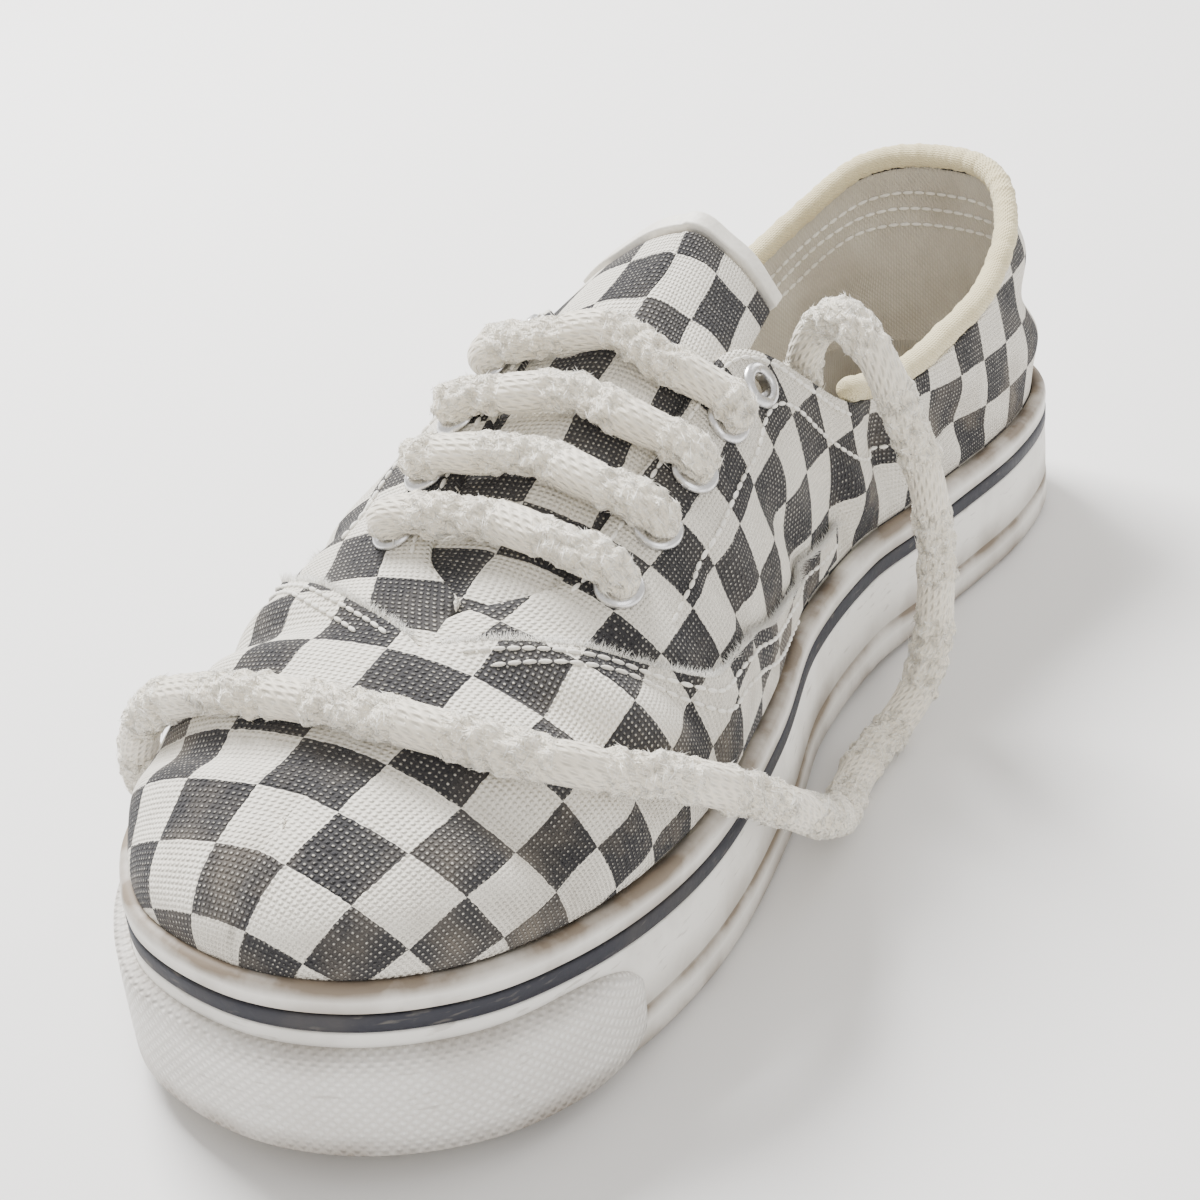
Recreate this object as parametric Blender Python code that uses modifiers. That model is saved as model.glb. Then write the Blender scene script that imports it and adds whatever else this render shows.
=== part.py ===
"""A worn low canvas sneaker for the right foot, at real size in metres, +Z up, toe at -Y, inner side at +X.

Rubber sole plate inside a foxing band, one hollow canvas upper on the shape of the last, tongue, insole,
padded collar, metal eyelets, straight lace bars and one loose lace end that crosses the toe.
"""

import math

import bmesh
import bpy
from mathutils import Vector

MM = 0.001

# Driving sizes
LENGTH = 290 * MM
HEEL_WIDTH = 73 * MM
WAIST_WIDTH = 71.5 * MM
BALL_WIDTH = 105 * MM
TOE_WIDTH = 92 * MM
INSTEP_HEIGHT = 98 * MM
SOLE_THICKNESS = 13 * MM
TOE_SPRING = 6 * MM
HEEL_SPRING = 1 * MM
ARCH_RISE = 1.5 * MM
FOXING_HEIGHT = 30 * MM
FOXING_TOE_RISE = 3 * MM
FOXING_THICKNESS = 4 * MM
FOXING_FLARE = 0.8 * MM
FOXING_ROUND = 1.2 * MM
SEAM_HEIGHT = 7 * MM
SEAM_STEP = 0.5 * MM
STRIPE_WIDTH = 3.8 * MM
STRIPE_DEPTH = 1.0 * MM
STRIPE_FROM_TOP = 5 * MM
BUMPER_THICKNESS = 1.8 * MM
BUMPER_HEIGHT = 21 * MM
CANVAS = 1.8 * MM
OVERLAY = 1.0 * MM
INSOLE_THICKNESS = 4 * MM
TONGUE_THICKNESS = 3 * MM
TONGUE_BINDING_WIDTH = 4.5 * MM
COLLAR_ROLL = 5.4 * MM
EYELET_OUTER = 9.4 * MM
EYELET_HOLE = 4.8 * MM
EYELET_RIM = 1.0 * MM
EYELET_BARREL_WALL = 0.4 * MM
EYELET_MARGIN = 8.5 * MM
LACE_DIAMETER = 8 * MM
LACE_TIP_DIAMETER = 5 * MM
LACE_TIP_LENGTH = 20 * MM
GROOVE_WIDTH = 2.6 * MM
GROOVE_DEPTH = 1.2 * MM
GROOVE_PITCH = 11 * MM
CLEARANCE = 0.3 * MM

# Sole outline, heel to toe: station and half width of the inner side, then of the outer side,
# as shares of the length and of the named width
OUTLINE = (
    (0.0155, 0.274, 0.0155, 0.274, HEEL_WIDTH),
    (0.0655, 0.432, 0.0620, 0.438, HEEL_WIDTH),
    (0.1550, 0.486, 0.1550, 0.514, HEEL_WIDTH),
    (0.2760, 0.461, 0.2760, 0.531, WAIST_WIDTH),
    (0.3860, 0.441, 0.3970, 0.559, WAIST_WIDTH),
    (0.4900, 0.333, 0.5100, 0.438, BALL_WIDTH),
    (0.6000, 0.424, 0.6280, 0.495, BALL_WIDTH),
    (0.7030, 0.484, 0.7240, 0.505, BALL_WIDTH),
    (0.7930, 0.495, 0.8140, 0.476, BALL_WIDTH),
    (0.8690, 0.533, 0.8830, 0.467, TOE_WIDTH),
    (0.9310, 0.457, 0.9410, 0.337, TOE_WIDTH),
    (0.9790, 0.304, 0.9860, 0.152, TOE_WIDTH),
)
TIP_SHARE = 0.098
TIP_ROW = len(OUTLINE) + 1

# Last, one row for each outline row from heel back to toe tip: ridge station as a share of the length,
# ridge height as a share of the instep height, ridge offset as a share of the ball width, then the
# section's handles: rise, bulge (share of the ball width), crown and drop
LAST = (
    (0.131, 1.50, 0.000, 0.28, 0.045, 0.35, 0.15),
    (0.138, 1.49, 0.000, 0.28, 0.045, 0.36, 0.15),
    (0.159, 1.46, 0.000, 0.28, 0.047, 0.40, 0.15),
    (0.214, 1.39, 0.000, 0.29, 0.050, 0.46, 0.17),
    (0.303, 1.26, 0.004, 0.34, 0.052, 0.58, 0.16),
    (0.393, 1.13, 0.008, 0.46, 0.050, 0.72, 0.12),
    (0.490, 0.99, 0.012, 0.55, 0.042, 0.80, 0.08),
    (0.600, 0.84, 0.016, 0.58, 0.034, 0.80, 0.06),
    (0.703, 0.70, 0.022, 0.56, 0.030, 0.76, 0.05),
    (0.790, 0.615, 0.030, 0.52, 0.028, 0.72, 0.04),
    (0.848, 0.580, 0.038, 0.50, 0.024, 0.68, 0.03),
    (0.887, 0.560, 0.046, 0.50, 0.020, 0.62, 0.03),
    (0.911, 0.545, 0.054, 0.50, 0.018, 0.58, 0.03),
    (0.922, 0.535, 0.060, 0.50, 0.018, 0.55, 0.03),
)

# Where the underside leaves the floor, as shares of the length
TOE_SPRING_START = 0.72
TOE_SPRING_POWER = 1.8
HEEL_SPRING_END = 0.06
ARCH_START = (0.30, 0.38)
ARCH_END = (0.49, 0.57)
FOXING_RISE_SPAN = (0.70, 0.96)


def spline(rows, place):
    """Value of a smooth curve through rows at a fractional row number."""
    last = len(rows) - 1
    place = min(max(place, 0.0), float(last))
    low = min(int(place), last - 1)
    part = place - low
    before, start, end, after = (rows[min(max(low + step, 0), last)] for step in (-1, 0, 1, 2))
    return 0.5 * (
        2 * start
        + (end - before) * part
        + (2 * before - 5 * start + 4 * end - after) * part**2
        + (3 * start - before - 3 * end + after) * part**3
    )


def column(table, index, place):
    """One column of a table, read at a fractional row number."""
    return spline([row[index] for row in table], place)


def ease(low, high, value):
    """0 below low, 1 above high, smooth between."""
    part = min(max((value - low) / (high - low), 0.0), 1.0)
    return part * part * (3 - 2 * part)


def outline_loop():
    """The outline's own points: heel, inner side, tip, outer side."""
    inner = [(row[1] * row[4], row[0] * LENGTH) for row in OUTLINE]
    outer = [(-row[3] * row[4], row[2] * LENGTH) for row in OUTLINE]
    return [(0.0, 0.0)] + inner + [(TIP_SHARE * TOE_WIDTH, LENGTH)] + outer[::-1]


LOOP = outline_loop()
MIDDLE_X = (max(point[0] for point in LOOP) + min(point[0] for point in LOOP)) / 2
MIDDLE_STATION = (LENGTH + BUMPER_THICKNESS + CLEARANCE) / 2


def world(x, station, height):
    """Point at a station measured from the back of the heel; the origin lies under the middle."""
    return Vector((x - MIDDLE_X, MIDDLE_STATION - station, height))


def loop_point(place):
    """Point of the closed smooth outline, counted in rows from the heel along the inner side."""
    low = math.floor(place)
    rows = [LOOP[(low + step) % len(LOOP)] for step in (-1, 0, 1, 2)]
    return tuple(spline([row[axis] for row in rows], 1 + place - low) for axis in (0, 1))


def outline(side, row, inset):
    """Outline point moved inwards by inset, as x and station, with its outward direction."""
    step = 0.02
    x, station = loop_point(side * row)
    ahead = loop_point(side * row + step)
    behind = loop_point(side * row - step)
    across, along = ahead[0] - behind[0], ahead[1] - behind[1]
    size = math.hypot(across, along)
    out = (along / size, -across / size)
    return x - inset * out[0], station - inset * out[1], Vector((out[0], -out[1], 0))


def lift(station):
    """Height of the underside above the floor: toe spring, heel spring and arch."""
    share = station / LENGTH
    toe = max(0.0, (share - TOE_SPRING_START) / (1 - TOE_SPRING_START))
    heel = max(0.0, (HEEL_SPRING_END - share) / HEEL_SPRING_END)
    arch = ease(*ARCH_START, share) - ease(*ARCH_END, share)
    return TOE_SPRING * toe**TOE_SPRING_POWER + HEEL_SPRING * heel**2 + ARCH_RISE * arch


def sole_top(station):
    return lift(station) + SOLE_THICKNESS


def foxing_top(station):
    return lift(station) + FOXING_HEIGHT + FOXING_TOE_RISE * ease(*FOXING_RISE_SPAN, station / LENGTH)


# Climb of the collar and throat edge up the section, at every half row from the heel; 1 is the ridge.
# The outer side of the throat stands a little higher.
EDGE = (
    0.385, 0.385, 0.38, 0.37, 0.35, 0.325, 0.30, 0.285, 0.275, 0.28,
    0.32, 0.47, 0.70, 0.76, 0.79, 0.81, 0.84, 1.0, 1.0,
)
EDGE_OUTER = 0.05
EDGE_OUTER_SPAN = (5.3, 6.0)
THROAT_END = 8.5

# Upper edge of the toe panel at every half row from where it starts, as a climb
TOE_PANEL_START = 16 / 3
TOE_PANEL_EDGE = (0.10, 0.11, 0.14, 0.19, 0.28, 0.36, 0.72, 1.0, 1.0)

# Levels of the upper's grid: under the panel's edge, and from there to the upper's own edge
PANEL_FOOT = 0.04
PLAIN_SPLIT = 0.5
LOWER_LEVELS = (0.0, 0.2, 0.4, 0.6, 0.8, 1.0)
HIGHER_LEVELS = (0.35, 0.7, 1.0)
ROWS_PER_STEP = 3
ROWS = [step / ROWS_PER_STEP for step in range(TIP_ROW * ROWS_PER_STEP + 1)]
NEARLY = 0.01


def rows_between(low, high):
    return [row for row in ROWS if low - NEARLY <= row <= high + NEARLY]


def edge_climb(side, row):
    """Climb at which the upper ends: collar, throat, or the ridge where the upper is closed."""
    if row >= THROAT_END:
        return 1.0
    climb = spline(EDGE, 2 * row)
    if side < 0:
        climb += EDGE_OUTER * ease(*EDGE_OUTER_SPAN, row)
    return min(climb, 1.0)


def toe_panel_edge(row):
    place = 2 * (row - TOE_PANEL_START)
    return min(spline(TOE_PANEL_EDGE, place), 1.0)


def upper_climbs(side, row):
    """Climbs of the upper's own points in one column, with one level along the toe panel's edge."""
    edge = edge_climb(side, row)
    behind = PLAIN_SPLIT * edge
    split = behind + (toe_panel_edge(row) - behind) * ease(TOE_PANEL_START - 1, TOE_PANEL_START, row)
    lower = [PANEL_FOOT + (split - PANEL_FOOT) * level for level in LOWER_LEVELS]
    return [-1.0, 0.0] + lower + [split + (edge - split) * level for level in HIGHER_LEVELS]


def last_point(side, row, climb):
    """Outer skin of the upper: below climb 0 it stands inside the foxing, at climb 1 it meets the ridge."""
    x, station, out = outline(side, row, FOXING_THICKNESS + CLEARANCE)
    foot = world(x, station, foxing_top(station) + CLEARANCE)
    if climb <= 0:
        floor = sole_top(station) + CLEARANCE
        return world(x, station, foot.z + climb * (foot.z - floor))
    place = abs(row)
    if place > TIP_ROW:
        place = 2 * TIP_ROW - place
    ridge_share, high, aside, rise, bulge, crown, drop = (column(LAST, index, place) for index in range(7))
    ridge = world(aside * BALL_WIDTH, ridge_share * LENGTH, high * INSTEP_HEIGHT)
    height = ridge.z - foot.z
    away = foot - ridge
    away.z = 0
    first = foot + out * bulge * BALL_WIDTH + Vector((0, 0, rise * height))
    second = ridge + away * crown - Vector((0, 0, drop * height))
    rest = 1 - climb
    return rest**3 * foot + 3 * rest**2 * climb * first + 3 * rest * climb**2 * second + climb**3 * ridge


def outward(side, row, climb):
    """Outward direction of the skin on one side."""
    step = 0.02
    along = last_point(side, row + step, climb) - last_point(side, row - step, climb)
    if climb <= 0:
        upward = Vector((0, 0, 1))
    else:
        upward = last_point(side, row, climb + step) - last_point(side, row, max(climb - step, step / 20))
    return upward.cross(along).normalized() * side


def skin(side, row, climb, offset=0.0):
    """Point at an offset outwards from the outer skin of the upper, with the outward direction."""
    normal = outward(side, row, climb)
    if climb > 0.999:
        normal = (normal + outward(-side, row, climb)).normalized()
    return last_point(side, row, climb) + normal * offset, normal


def clear_scene():
    for held in list(bpy.data.objects):
        bpy.data.objects.remove(held, do_unlink=True)
    for held in list(bpy.data.collections):
        bpy.data.collections.remove(held)


def finish(name, colour, roughness, metallic=0.0):
    """A plain Principled finish."""
    material = bpy.data.materials.new(name)
    material.use_nodes = True
    shader = material.node_tree.nodes["Principled BSDF"]
    shader.inputs["Base Color"].default_value = (*colour, 1)
    shader.inputs["Roughness"].default_value = roughness
    shader.inputs["Metallic"].default_value = metallic
    return material


def add_object(name, data, material, home):
    made = bpy.data.objects.new(name, data)
    if not data.materials:
        data.materials.append(material)
    home.objects.link(made)
    return made


def mesh_from(name, points, faces):
    """A mesh whose coincident points are welded."""
    weld = 0.02 * MM
    mesh = bpy.data.meshes.new(name)
    mesh.from_pydata([tuple(point) for point in points], [], faces)
    work = bmesh.new()
    work.from_mesh(mesh)
    bmesh.ops.remove_doubles(work, verts=work.verts, dist=weld)
    bmesh.ops.dissolve_degenerate(work, edges=work.edges, dist=weld / 10)
    work.to_mesh(mesh)
    work.free()
    mesh.shade_smooth()
    mesh.set_sharp_from_angle(angle=math.radians(40))
    return mesh


def sheet_mesh(name, columns_by_side):
    """One open skin from columns of points, inner and outer side, facing outwards, split the same way all over."""
    points, faces = [], []
    for side, columns in columns_by_side:
        for low, high in zip(columns, columns[1:]):
            for level in range(len(low) - 1):
                corners = (low[level], high[level], high[level + 1], low[level + 1])
                for picked in ((0, 1, 2), (0, 2, 3)):
                    start = len(points)
                    points += [corners[spot] for spot in picked[:: -side]]
                    faces.append((start, start + 1, start + 2))
    return mesh_from(name, points, faces)


def thicken(made, thickness, direction):
    """Gives an open skin its wall, outwards (1) or inwards (-1)."""
    wall = made.modifiers.new("wall", "SOLIDIFY")
    wall.thickness = thickness
    wall.offset = direction
    wall.use_even_offset = True
    wall.use_quality_normals = True


def ring_stations():
    """Side and row of every station round the sole, once each."""
    return [(1, row) for row in ROWS] + [(-1, row) for row in ROWS[-2:0:-1]]


def sweep(name, stations, profile, closed):
    """Sweeps a closed profile of inset and height round the outline."""
    rings = []
    for side, row in stations:
        station = outline(side, row, 0.0)[1]
        ring = []
        for inset, height in profile(row, station):
            x, along, _ = outline(side, row, inset)
            ring.append(world(x, along, height))
        rings.append(ring)
    count = len(rings[0])
    points = [point for ring in rings for point in ring]
    faces = []
    spans = range(len(rings)) if closed else range(len(rings) - 1)
    for span in spans:
        here, there = span * count, (span + 1) % len(rings) * count
        for spot in range(count):
            after = (spot + 1) % count
            faces.append((here + spot, here + after, there + after, there + spot))
    if not closed:
        faces.append(tuple(range(count))[::-1])
        faces.append(tuple(len(points) - count + spot for spot in range(count)))
    return mesh_from(name, points, faces)


def plate_mesh(name, inset, bottom, top):
    """A plate inside the outline, between two heights that follow the station."""
    shares = (0.0, 0.3, 0.7, 1.0)
    layers = {}
    for level, height in ((0, bottom), (1, top)):
        for number, row in enumerate(ROWS):
            inner = outline(1, row, inset)
            outer = outline(-1, row, inset)
            for spot, share in enumerate(shares):
                x = outer[0] + (inner[0] - outer[0]) * share
                station = outer[1] + (inner[1] - outer[1]) * share
                layers[level, number, spot] = world(x, station, height(station))
    points, faces = [], []

    def quad(*keys):
        start = len(points)
        points.extend(layers[key] for key in keys)
        faces.append(tuple(range(start, start + 4)))

    last = len(shares) - 1
    for number in range(len(ROWS) - 1):
        for spot in range(last):
            quad((1, number, spot), (1, number + 1, spot), (1, number + 1, spot + 1), (1, number, spot + 1))
            quad((0, number, spot), (0, number, spot + 1), (0, number + 1, spot + 1), (0, number + 1, spot))
        quad((0, number, 0), (0, number + 1, 0), (1, number + 1, 0), (1, number, 0))
        quad((0, number + 1, last), (0, number, last), (1, number, last), (1, number + 1, last))
    return mesh_from(name, points, faces)


def box_mesh(name, centre, size):
    work = bmesh.new()
    bmesh.ops.create_cube(work, size=1.0)
    bmesh.ops.scale(work, vec=size, verts=work.verts)
    bmesh.ops.translate(work, vec=centre, verts=work.verts)
    mesh = bpy.data.meshes.new(name)
    work.to_mesh(mesh)
    work.free()
    return mesh


def rod_mesh(name, centre, direction, radius, length):
    work = bmesh.new()
    bmesh.ops.create_cone(work, cap_ends=True, segments=12, radius1=radius, radius2=radius, depth=length)
    bmesh.ops.rotate(work, matrix=turned(direction).to_matrix(), verts=work.verts)
    bmesh.ops.translate(work, vec=centre, verts=work.verts)
    mesh = bpy.data.meshes.new(name)
    work.to_mesh(mesh)
    work.free()
    return mesh


def turned(normal):
    return normal.to_track_quat("Z", "Y")


def add_cutter(name, mesh, home):
    cutter = bpy.data.objects.new(name, mesh)
    cutter.display_type = "WIRE"
    cutter.hide_render = True
    home.objects.link(cutter)
    return cutter


def cut(made, cutter):
    modifier = made.modifiers.new("cut " + cutter.name, "BOOLEAN")
    modifier.operation = "DIFFERENCE"
    modifier.solver = "EXACT"
    modifier.object = cutter


def tube(name, points, diameter, material, home):
    """A round solid along a list of points, with filled caps."""
    curve = bpy.data.curves.new(name, "CURVE")
    curve.dimensions = "3D"
    curve.bevel_depth = diameter / 2
    curve.bevel_resolution = 2
    curve.use_fill_caps = True
    line = curve.splines.new("POLY")
    line.points.add(len(points) - 1)
    for spot, point in zip(line.points, points):
        spot.co = (*point, 1)
    return add_object(name, curve, material, home)


# Heel and forefoot tread: station of the first groove as a share of the length, and how many
TREADS = ((0.115, 4), (0.590, 5))


def make_outsole(home, cutters, material):
    mesh = plate_mesh("outsole", FOXING_THICKNESS + CLEARANCE, lift, sole_top)
    outsole = add_object("outsole", mesh, material, home)
    size = (2 * BALL_WIDTH, GROOVE_WIDTH, 2 * GROOVE_DEPTH)
    for tread, (start, count) in enumerate(TREADS):
        for number in range(count):
            centre = world(0, start * LENGTH + number * GROOVE_PITCH, 0)
            name = f"groove_{tread}_{number}"
            cut(outsole, add_cutter(name, box_mesh(name, centre, size), cutters))


def foxing_profile(row, station):
    """Closed profile of the rubber band: flared foot, seam step, stripe groove, rounded lip."""
    low = lift(station) + 2 * CLEARANCE
    top = foxing_top(station)
    stripe_top = top - STRIPE_FROM_TOP
    stripe_low = stripe_top - STRIPE_WIDTH
    seam = low + SEAM_HEIGHT
    flare = FOXING_FLARE
    return [
        (FOXING_THICKNESS, low),
        (0.7 * FOXING_ROUND, low),
        (0.0, low + FOXING_ROUND),
        (0.25 * flare, seam),
        (0.25 * flare + SEAM_STEP, seam + SEAM_STEP),
        (flare, stripe_low),
        (flare + STRIPE_DEPTH, stripe_low),
        (flare + STRIPE_DEPTH, stripe_top),
        (flare, stripe_top),
        (flare, top - FOXING_ROUND),
        (flare + FOXING_ROUND, top),
        (FOXING_THICKNESS, top),
    ]


def stripe_profile(row, station):
    """Thin dark band seated in the groove of the foxing."""
    top = foxing_top(station) - STRIPE_FROM_TOP - CLEARANCE
    low = foxing_top(station) - STRIPE_FROM_TOP - STRIPE_WIDTH + CLEARANCE
    back = FOXING_FLARE + STRIPE_DEPTH - CLEARANCE
    return [(back, low), (FOXING_FLARE, low), (FOXING_FLARE, top), (back, top)]


# Toe guard: the row where it starts, the rows over which it grows to full size, and what it keeps at its ends
BUMPER_START = 9.33
BUMPER_TAPER = 0.8
BUMPER_END = 0.35
BUMPER_ROUND = 0.93


def bumper_profile(row, station):
    """Proud toe guard: full at the toe, rounded off at its two ends."""
    part = min(max((row - BUMPER_START) / BUMPER_TAPER, 0.0), 1.0)
    size = BUMPER_END + (1 - BUMPER_END) * math.sqrt(1 - (1 - part) ** 2)
    half = BUMPER_HEIGHT / 2 * size
    middle = lift(station) + 3 * CLEARANCE + BUMPER_HEIGHT / 2
    back = -CLEARANCE
    face = back - BUMPER_THICKNESS * size
    shoulder = half * BUMPER_ROUND
    return [
        (back, middle - half),
        (face, middle - shoulder),
        (face, middle + shoulder),
        (back, middle + half),
    ]


def make_foxing(home, rubber, dark, guard):
    stations = ring_stations()
    add_object("foxing", sweep("foxing", stations, foxing_profile, True), rubber, home)
    add_object("foxing_stripe", sweep("foxing_stripe", stations, stripe_profile, True), dark, home)
    front = [pair for pair in stations if pair[1] >= BUMPER_START - NEARLY]
    add_object("toe_bumper", sweep("toe_bumper", front, bumper_profile, False), guard, home)


def make_insole(home, material):
    inset = FOXING_THICKNESS + CLEARANCE + CANVAS + CLEARANCE

    def bottom(station):
        return sole_top(station) + CLEARANCE

    def top(station):
        return bottom(station) + INSOLE_THICKNESS

    add_object("insole", plate_mesh("insole", inset, bottom, top), material, home)


# Row of each pair of eyelets, from the toe
EYELET_ROWS = (7.80, 7.33, 6.87, 6.42, 5.99)
SIDES = ((1, "medial"), (-1, "lateral"))


def climb_back(side, row, margin):
    """Climb that lies a margin below the upper's edge, measured along the skin."""
    climb = edge_climb(side, row)
    point = last_point(side, row, climb)
    gone = 0.0
    while gone < margin:
        climb -= 0.005
        after = last_point(side, row, climb)
        gone += (after - point).length
        point = after
    return climb


def eyelet_frame(side, number):
    """Centre of an eyelet on the outer skin, with the outward direction."""
    row = EYELET_ROWS[number]
    return skin(side, row, climb_back(side, row, EYELET_MARGIN))


def make_upper(home, cutters, material):
    sides = []
    for side, _ in SIDES:
        sides.append((side, [[last_point(side, row, climb) for climb in upper_climbs(side, row)] for row in ROWS]))
    upper = add_object("upper", sheet_mesh("upper", sides), material, home)
    thicken(upper, CANVAS, -1)
    radius = EYELET_HOLE / 2 + EYELET_BARREL_WALL + CLEARANCE
    for side, word in SIDES:
        for number in range(len(EYELET_ROWS)):
            name = f"hole_{word}_{number + 1}"
            centre, normal = eyelet_frame(side, number)
            cut(upper, add_cutter(name, rod_mesh(name, centre, normal, radius, 4 * CANVAS), cutters))


def eyelet_mesh():
    """Profile of flange and barrel, turned round its own axis."""
    hole = EYELET_HOLE / 2
    barrel = hole + EYELET_BARREL_WALL
    outer = EYELET_OUTER / 2
    low = CLEARANCE
    high = low + EYELET_RIM
    foot = CLEARANCE - CANVAS
    profile = [
        (hole, foot),
        (hole, low + 0.5 * EYELET_RIM),
        (hole + 0.25 * (outer - hole), high),
        (hole + 0.7 * (outer - hole), high),
        (outer, low + 0.4 * EYELET_RIM),
        (outer, low),
        (barrel, low),
        (barrel, foot),
    ]
    mesh = bpy.data.meshes.new("eyelet")
    edges = [(spot, (spot + 1) % len(profile)) for spot in range(len(profile))]
    mesh.from_pydata([(radius, 0, height) for radius, height in profile], edges, [])
    return mesh


def make_eyelets(home, material):
    mesh = eyelet_mesh()
    for side, word in SIDES:
        for number in range(len(EYELET_ROWS)):
            eyelet = add_object(f"eyelet_{word}_{number + 1}", mesh, material, home)
            centre, normal = eyelet_frame(side, number)
            eyelet.location = centre
            eyelet.rotation_mode = "QUATERNION"
            eyelet.rotation_quaternion = turned(normal)
            turn = eyelet.modifiers.new("turn", "SCREW")
            turn.steps = 10
            turn.render_steps = 10
            turn.use_merge_vertices = True
            turn.merge_threshold = 0.00001
            turn.use_smooth_shade = True


PANEL_GAP = 1.2 * CLEARANCE


def panel_column(side, row, levels):
    """Points just over the upper's own points, so that a panel keeps an even gap to it."""
    return [skin(side, row, climb, PANEL_GAP)[0] for climb in upper_climbs(side, row)[levels]]


def make_panel(name, rows, levels, home, material):
    sides = [(side, [panel_column(side, row, levels) for row in rows]) for side, _ in SIDES]
    thicken(add_object(name, sheet_mesh(name, sides), material, home), OVERLAY, 1)


HEEL_STRIP_ROW = 2 / 3


def make_panels(home, material):
    """Toe panel up to its edge on the vamp, and the strip up the back of the heel."""
    make_panel("toe_overlay", rows_between(TOE_PANEL_START, TIP_ROW), slice(2, 2 + len(LOWER_LEVELS)), home, material)
    make_panel("heel_strip", rows_between(0, HEEL_STRIP_ROW), slice(2, None), home, material)


COLLAR_END = 5
COLLAR_SEAT = 2 * CLEARANCE


def collar_path():
    """Middle line of the padded roll, just above the rim of the collar."""
    rows = rows_between(0, COLLAR_END)
    path = []
    for side, run in ((1, rows[::-1]), (-1, rows[1:])):
        for row in run:
            climb = edge_climb(side, row)
            rim, _ = skin(side, row, climb, -CANVAS / 2)
            below, _ = skin(side, row, climb - 0.03, -CANVAS / 2)
            path.append(rim + (rim - below).normalized() * (COLLAR_ROLL / 2 + COLLAR_SEAT))
    return path


# Tongue: the row where it ends under the vamp, the row of its top, and how far down the section its sides
# are tucked, as a climb
TONGUE_FRONT = 26 / 3
TONGUE_TOP = 5.45
TONGUE_TUCK = 0.64
TONGUE_LEVELS = (0.0, 0.2, 0.4, 0.6, 0.8, 1.0)
TONGUE_GAP = 8 * CLEARANCE


def tongue_sheet(name, rows):
    climbs = [TONGUE_TUCK + (1 - TONGUE_TUCK) * level for level in TONGUE_LEVELS]
    back = -(CANVAS + TONGUE_GAP)
    sides = []
    for side, _ in SIDES:
        sides.append((side, [[skin(side, row, climb, back)[0] for climb in climbs] for row in rows]))
    return sheet_mesh(name, sides)


def ridge_rows(length):
    """How many rows a length along the ridge takes at the top of the tongue."""
    step = 0.1
    return step * length / (last_point(1, TONGUE_TOP, 1.0) - last_point(1, TONGUE_TOP - step, 1.0)).length


def make_tongue(home, canvas, binding):
    rows = [TONGUE_TOP] + rows_between(TONGUE_TOP + ridge_rows(TONGUE_BINDING_WIDTH), TONGUE_FRONT)
    thicken(add_object("tongue", tongue_sheet("tongue", rows), canvas, home), TONGUE_THICKNESS, -1)
    start = TONGUE_TOP - ridge_rows(2 * CLEARANCE)
    end = start - ridge_rows(TONGUE_BINDING_WIDTH)
    bound = tongue_sheet("tongue_binding", [end, start])
    thicken(add_object("tongue_binding", bound, binding, home), TONGUE_THICKNESS, -1)


def lace_bar_path(number):
    """From one eyelet over the throat to the other, lying on the eyelets and clear of the tongue."""
    row = EYELET_ROWS[number]
    rest = EYELET_RIM + 4 * CLEARANCE + LACE_DIAMETER / 2
    middle = LACE_DIAMETER / 2 + CLEARANCE - CANVAS
    path = []
    steps = 5
    for side, _ in SIDES:
        start = climb_back(side, row, 1.25 * EYELET_MARGIN)
        half = []
        for step in range(steps):
            part = step / steps
            half.append(skin(side, row, start + (1 - start) * part, rest + (middle - rest) * part**2)[0])
        if side == 1:
            path = half + [skin(side, row, 1.0, middle)[0]]
        else:
            path += half[::-1]
    return path


# Route of the loose lace end, x, y and height: out over the collar, down the waist to the floor, up over
# the toe and down to the floor on the outer side
LACE_ROUTE = (
    (0.0150, 0.0320, 0.0520), (0.0175, 0.0305, 0.0620), (0.0200, 0.0290, 0.0710),
    (0.0225, 0.0270, 0.0790), (0.0265, 0.0265, 0.0850), (0.0325, 0.0240, 0.0875), (0.0395, 0.0225, 0.0820),
    (0.0455, 0.0225, 0.0700), (0.0495, 0.0240, 0.0560), (0.0505, 0.0260, 0.0420), (0.0500, 0.0270, 0.0290),
    (0.0495, 0.0255, 0.0170), (0.0485, 0.0205, 0.0090), (0.0475, 0.0120, 0.0050), (0.0475, 0.0010, 0.0045),
    (0.0495, -0.0100, 0.0050), (0.0530, -0.0210, 0.0075), (0.0570, -0.0330, 0.0140), (0.0595, -0.0450, 0.0230),
    (0.0595, -0.0570, 0.0330), (0.0570, -0.0680, 0.0420), (0.0525, -0.0780, 0.0490), (0.0465, -0.0870, 0.0540),
    (0.0380, -0.0945, 0.0585), (0.0260, -0.0990, 0.0615), (0.0120, -0.1015, 0.0630), (-0.0030, -0.1025, 0.0625),
    (-0.0170, -0.1030, 0.0605), (-0.0300, -0.1025, 0.0565), (-0.0410, -0.1010, 0.0505), (-0.0500, -0.0980, 0.0410),
    (-0.0570, -0.0935, 0.0280), (-0.0615, -0.0870, 0.0160), (-0.0645, -0.0780, 0.0070), (-0.0660, -0.0660, 0.0045),
    (-0.0675, -0.0520, 0.0045), (-0.0690, -0.0380, 0.0045),
)
LACE_STEP = 0.9


def lace_end_path():
    """Points read from a smooth curve through the route."""
    route = [Vector(point) for point in LACE_ROUTE]
    count = round((len(route) - 1) / LACE_STEP)
    return [spline(route, (len(route) - 1) * number / count) for number in range(count + 1)]


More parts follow.
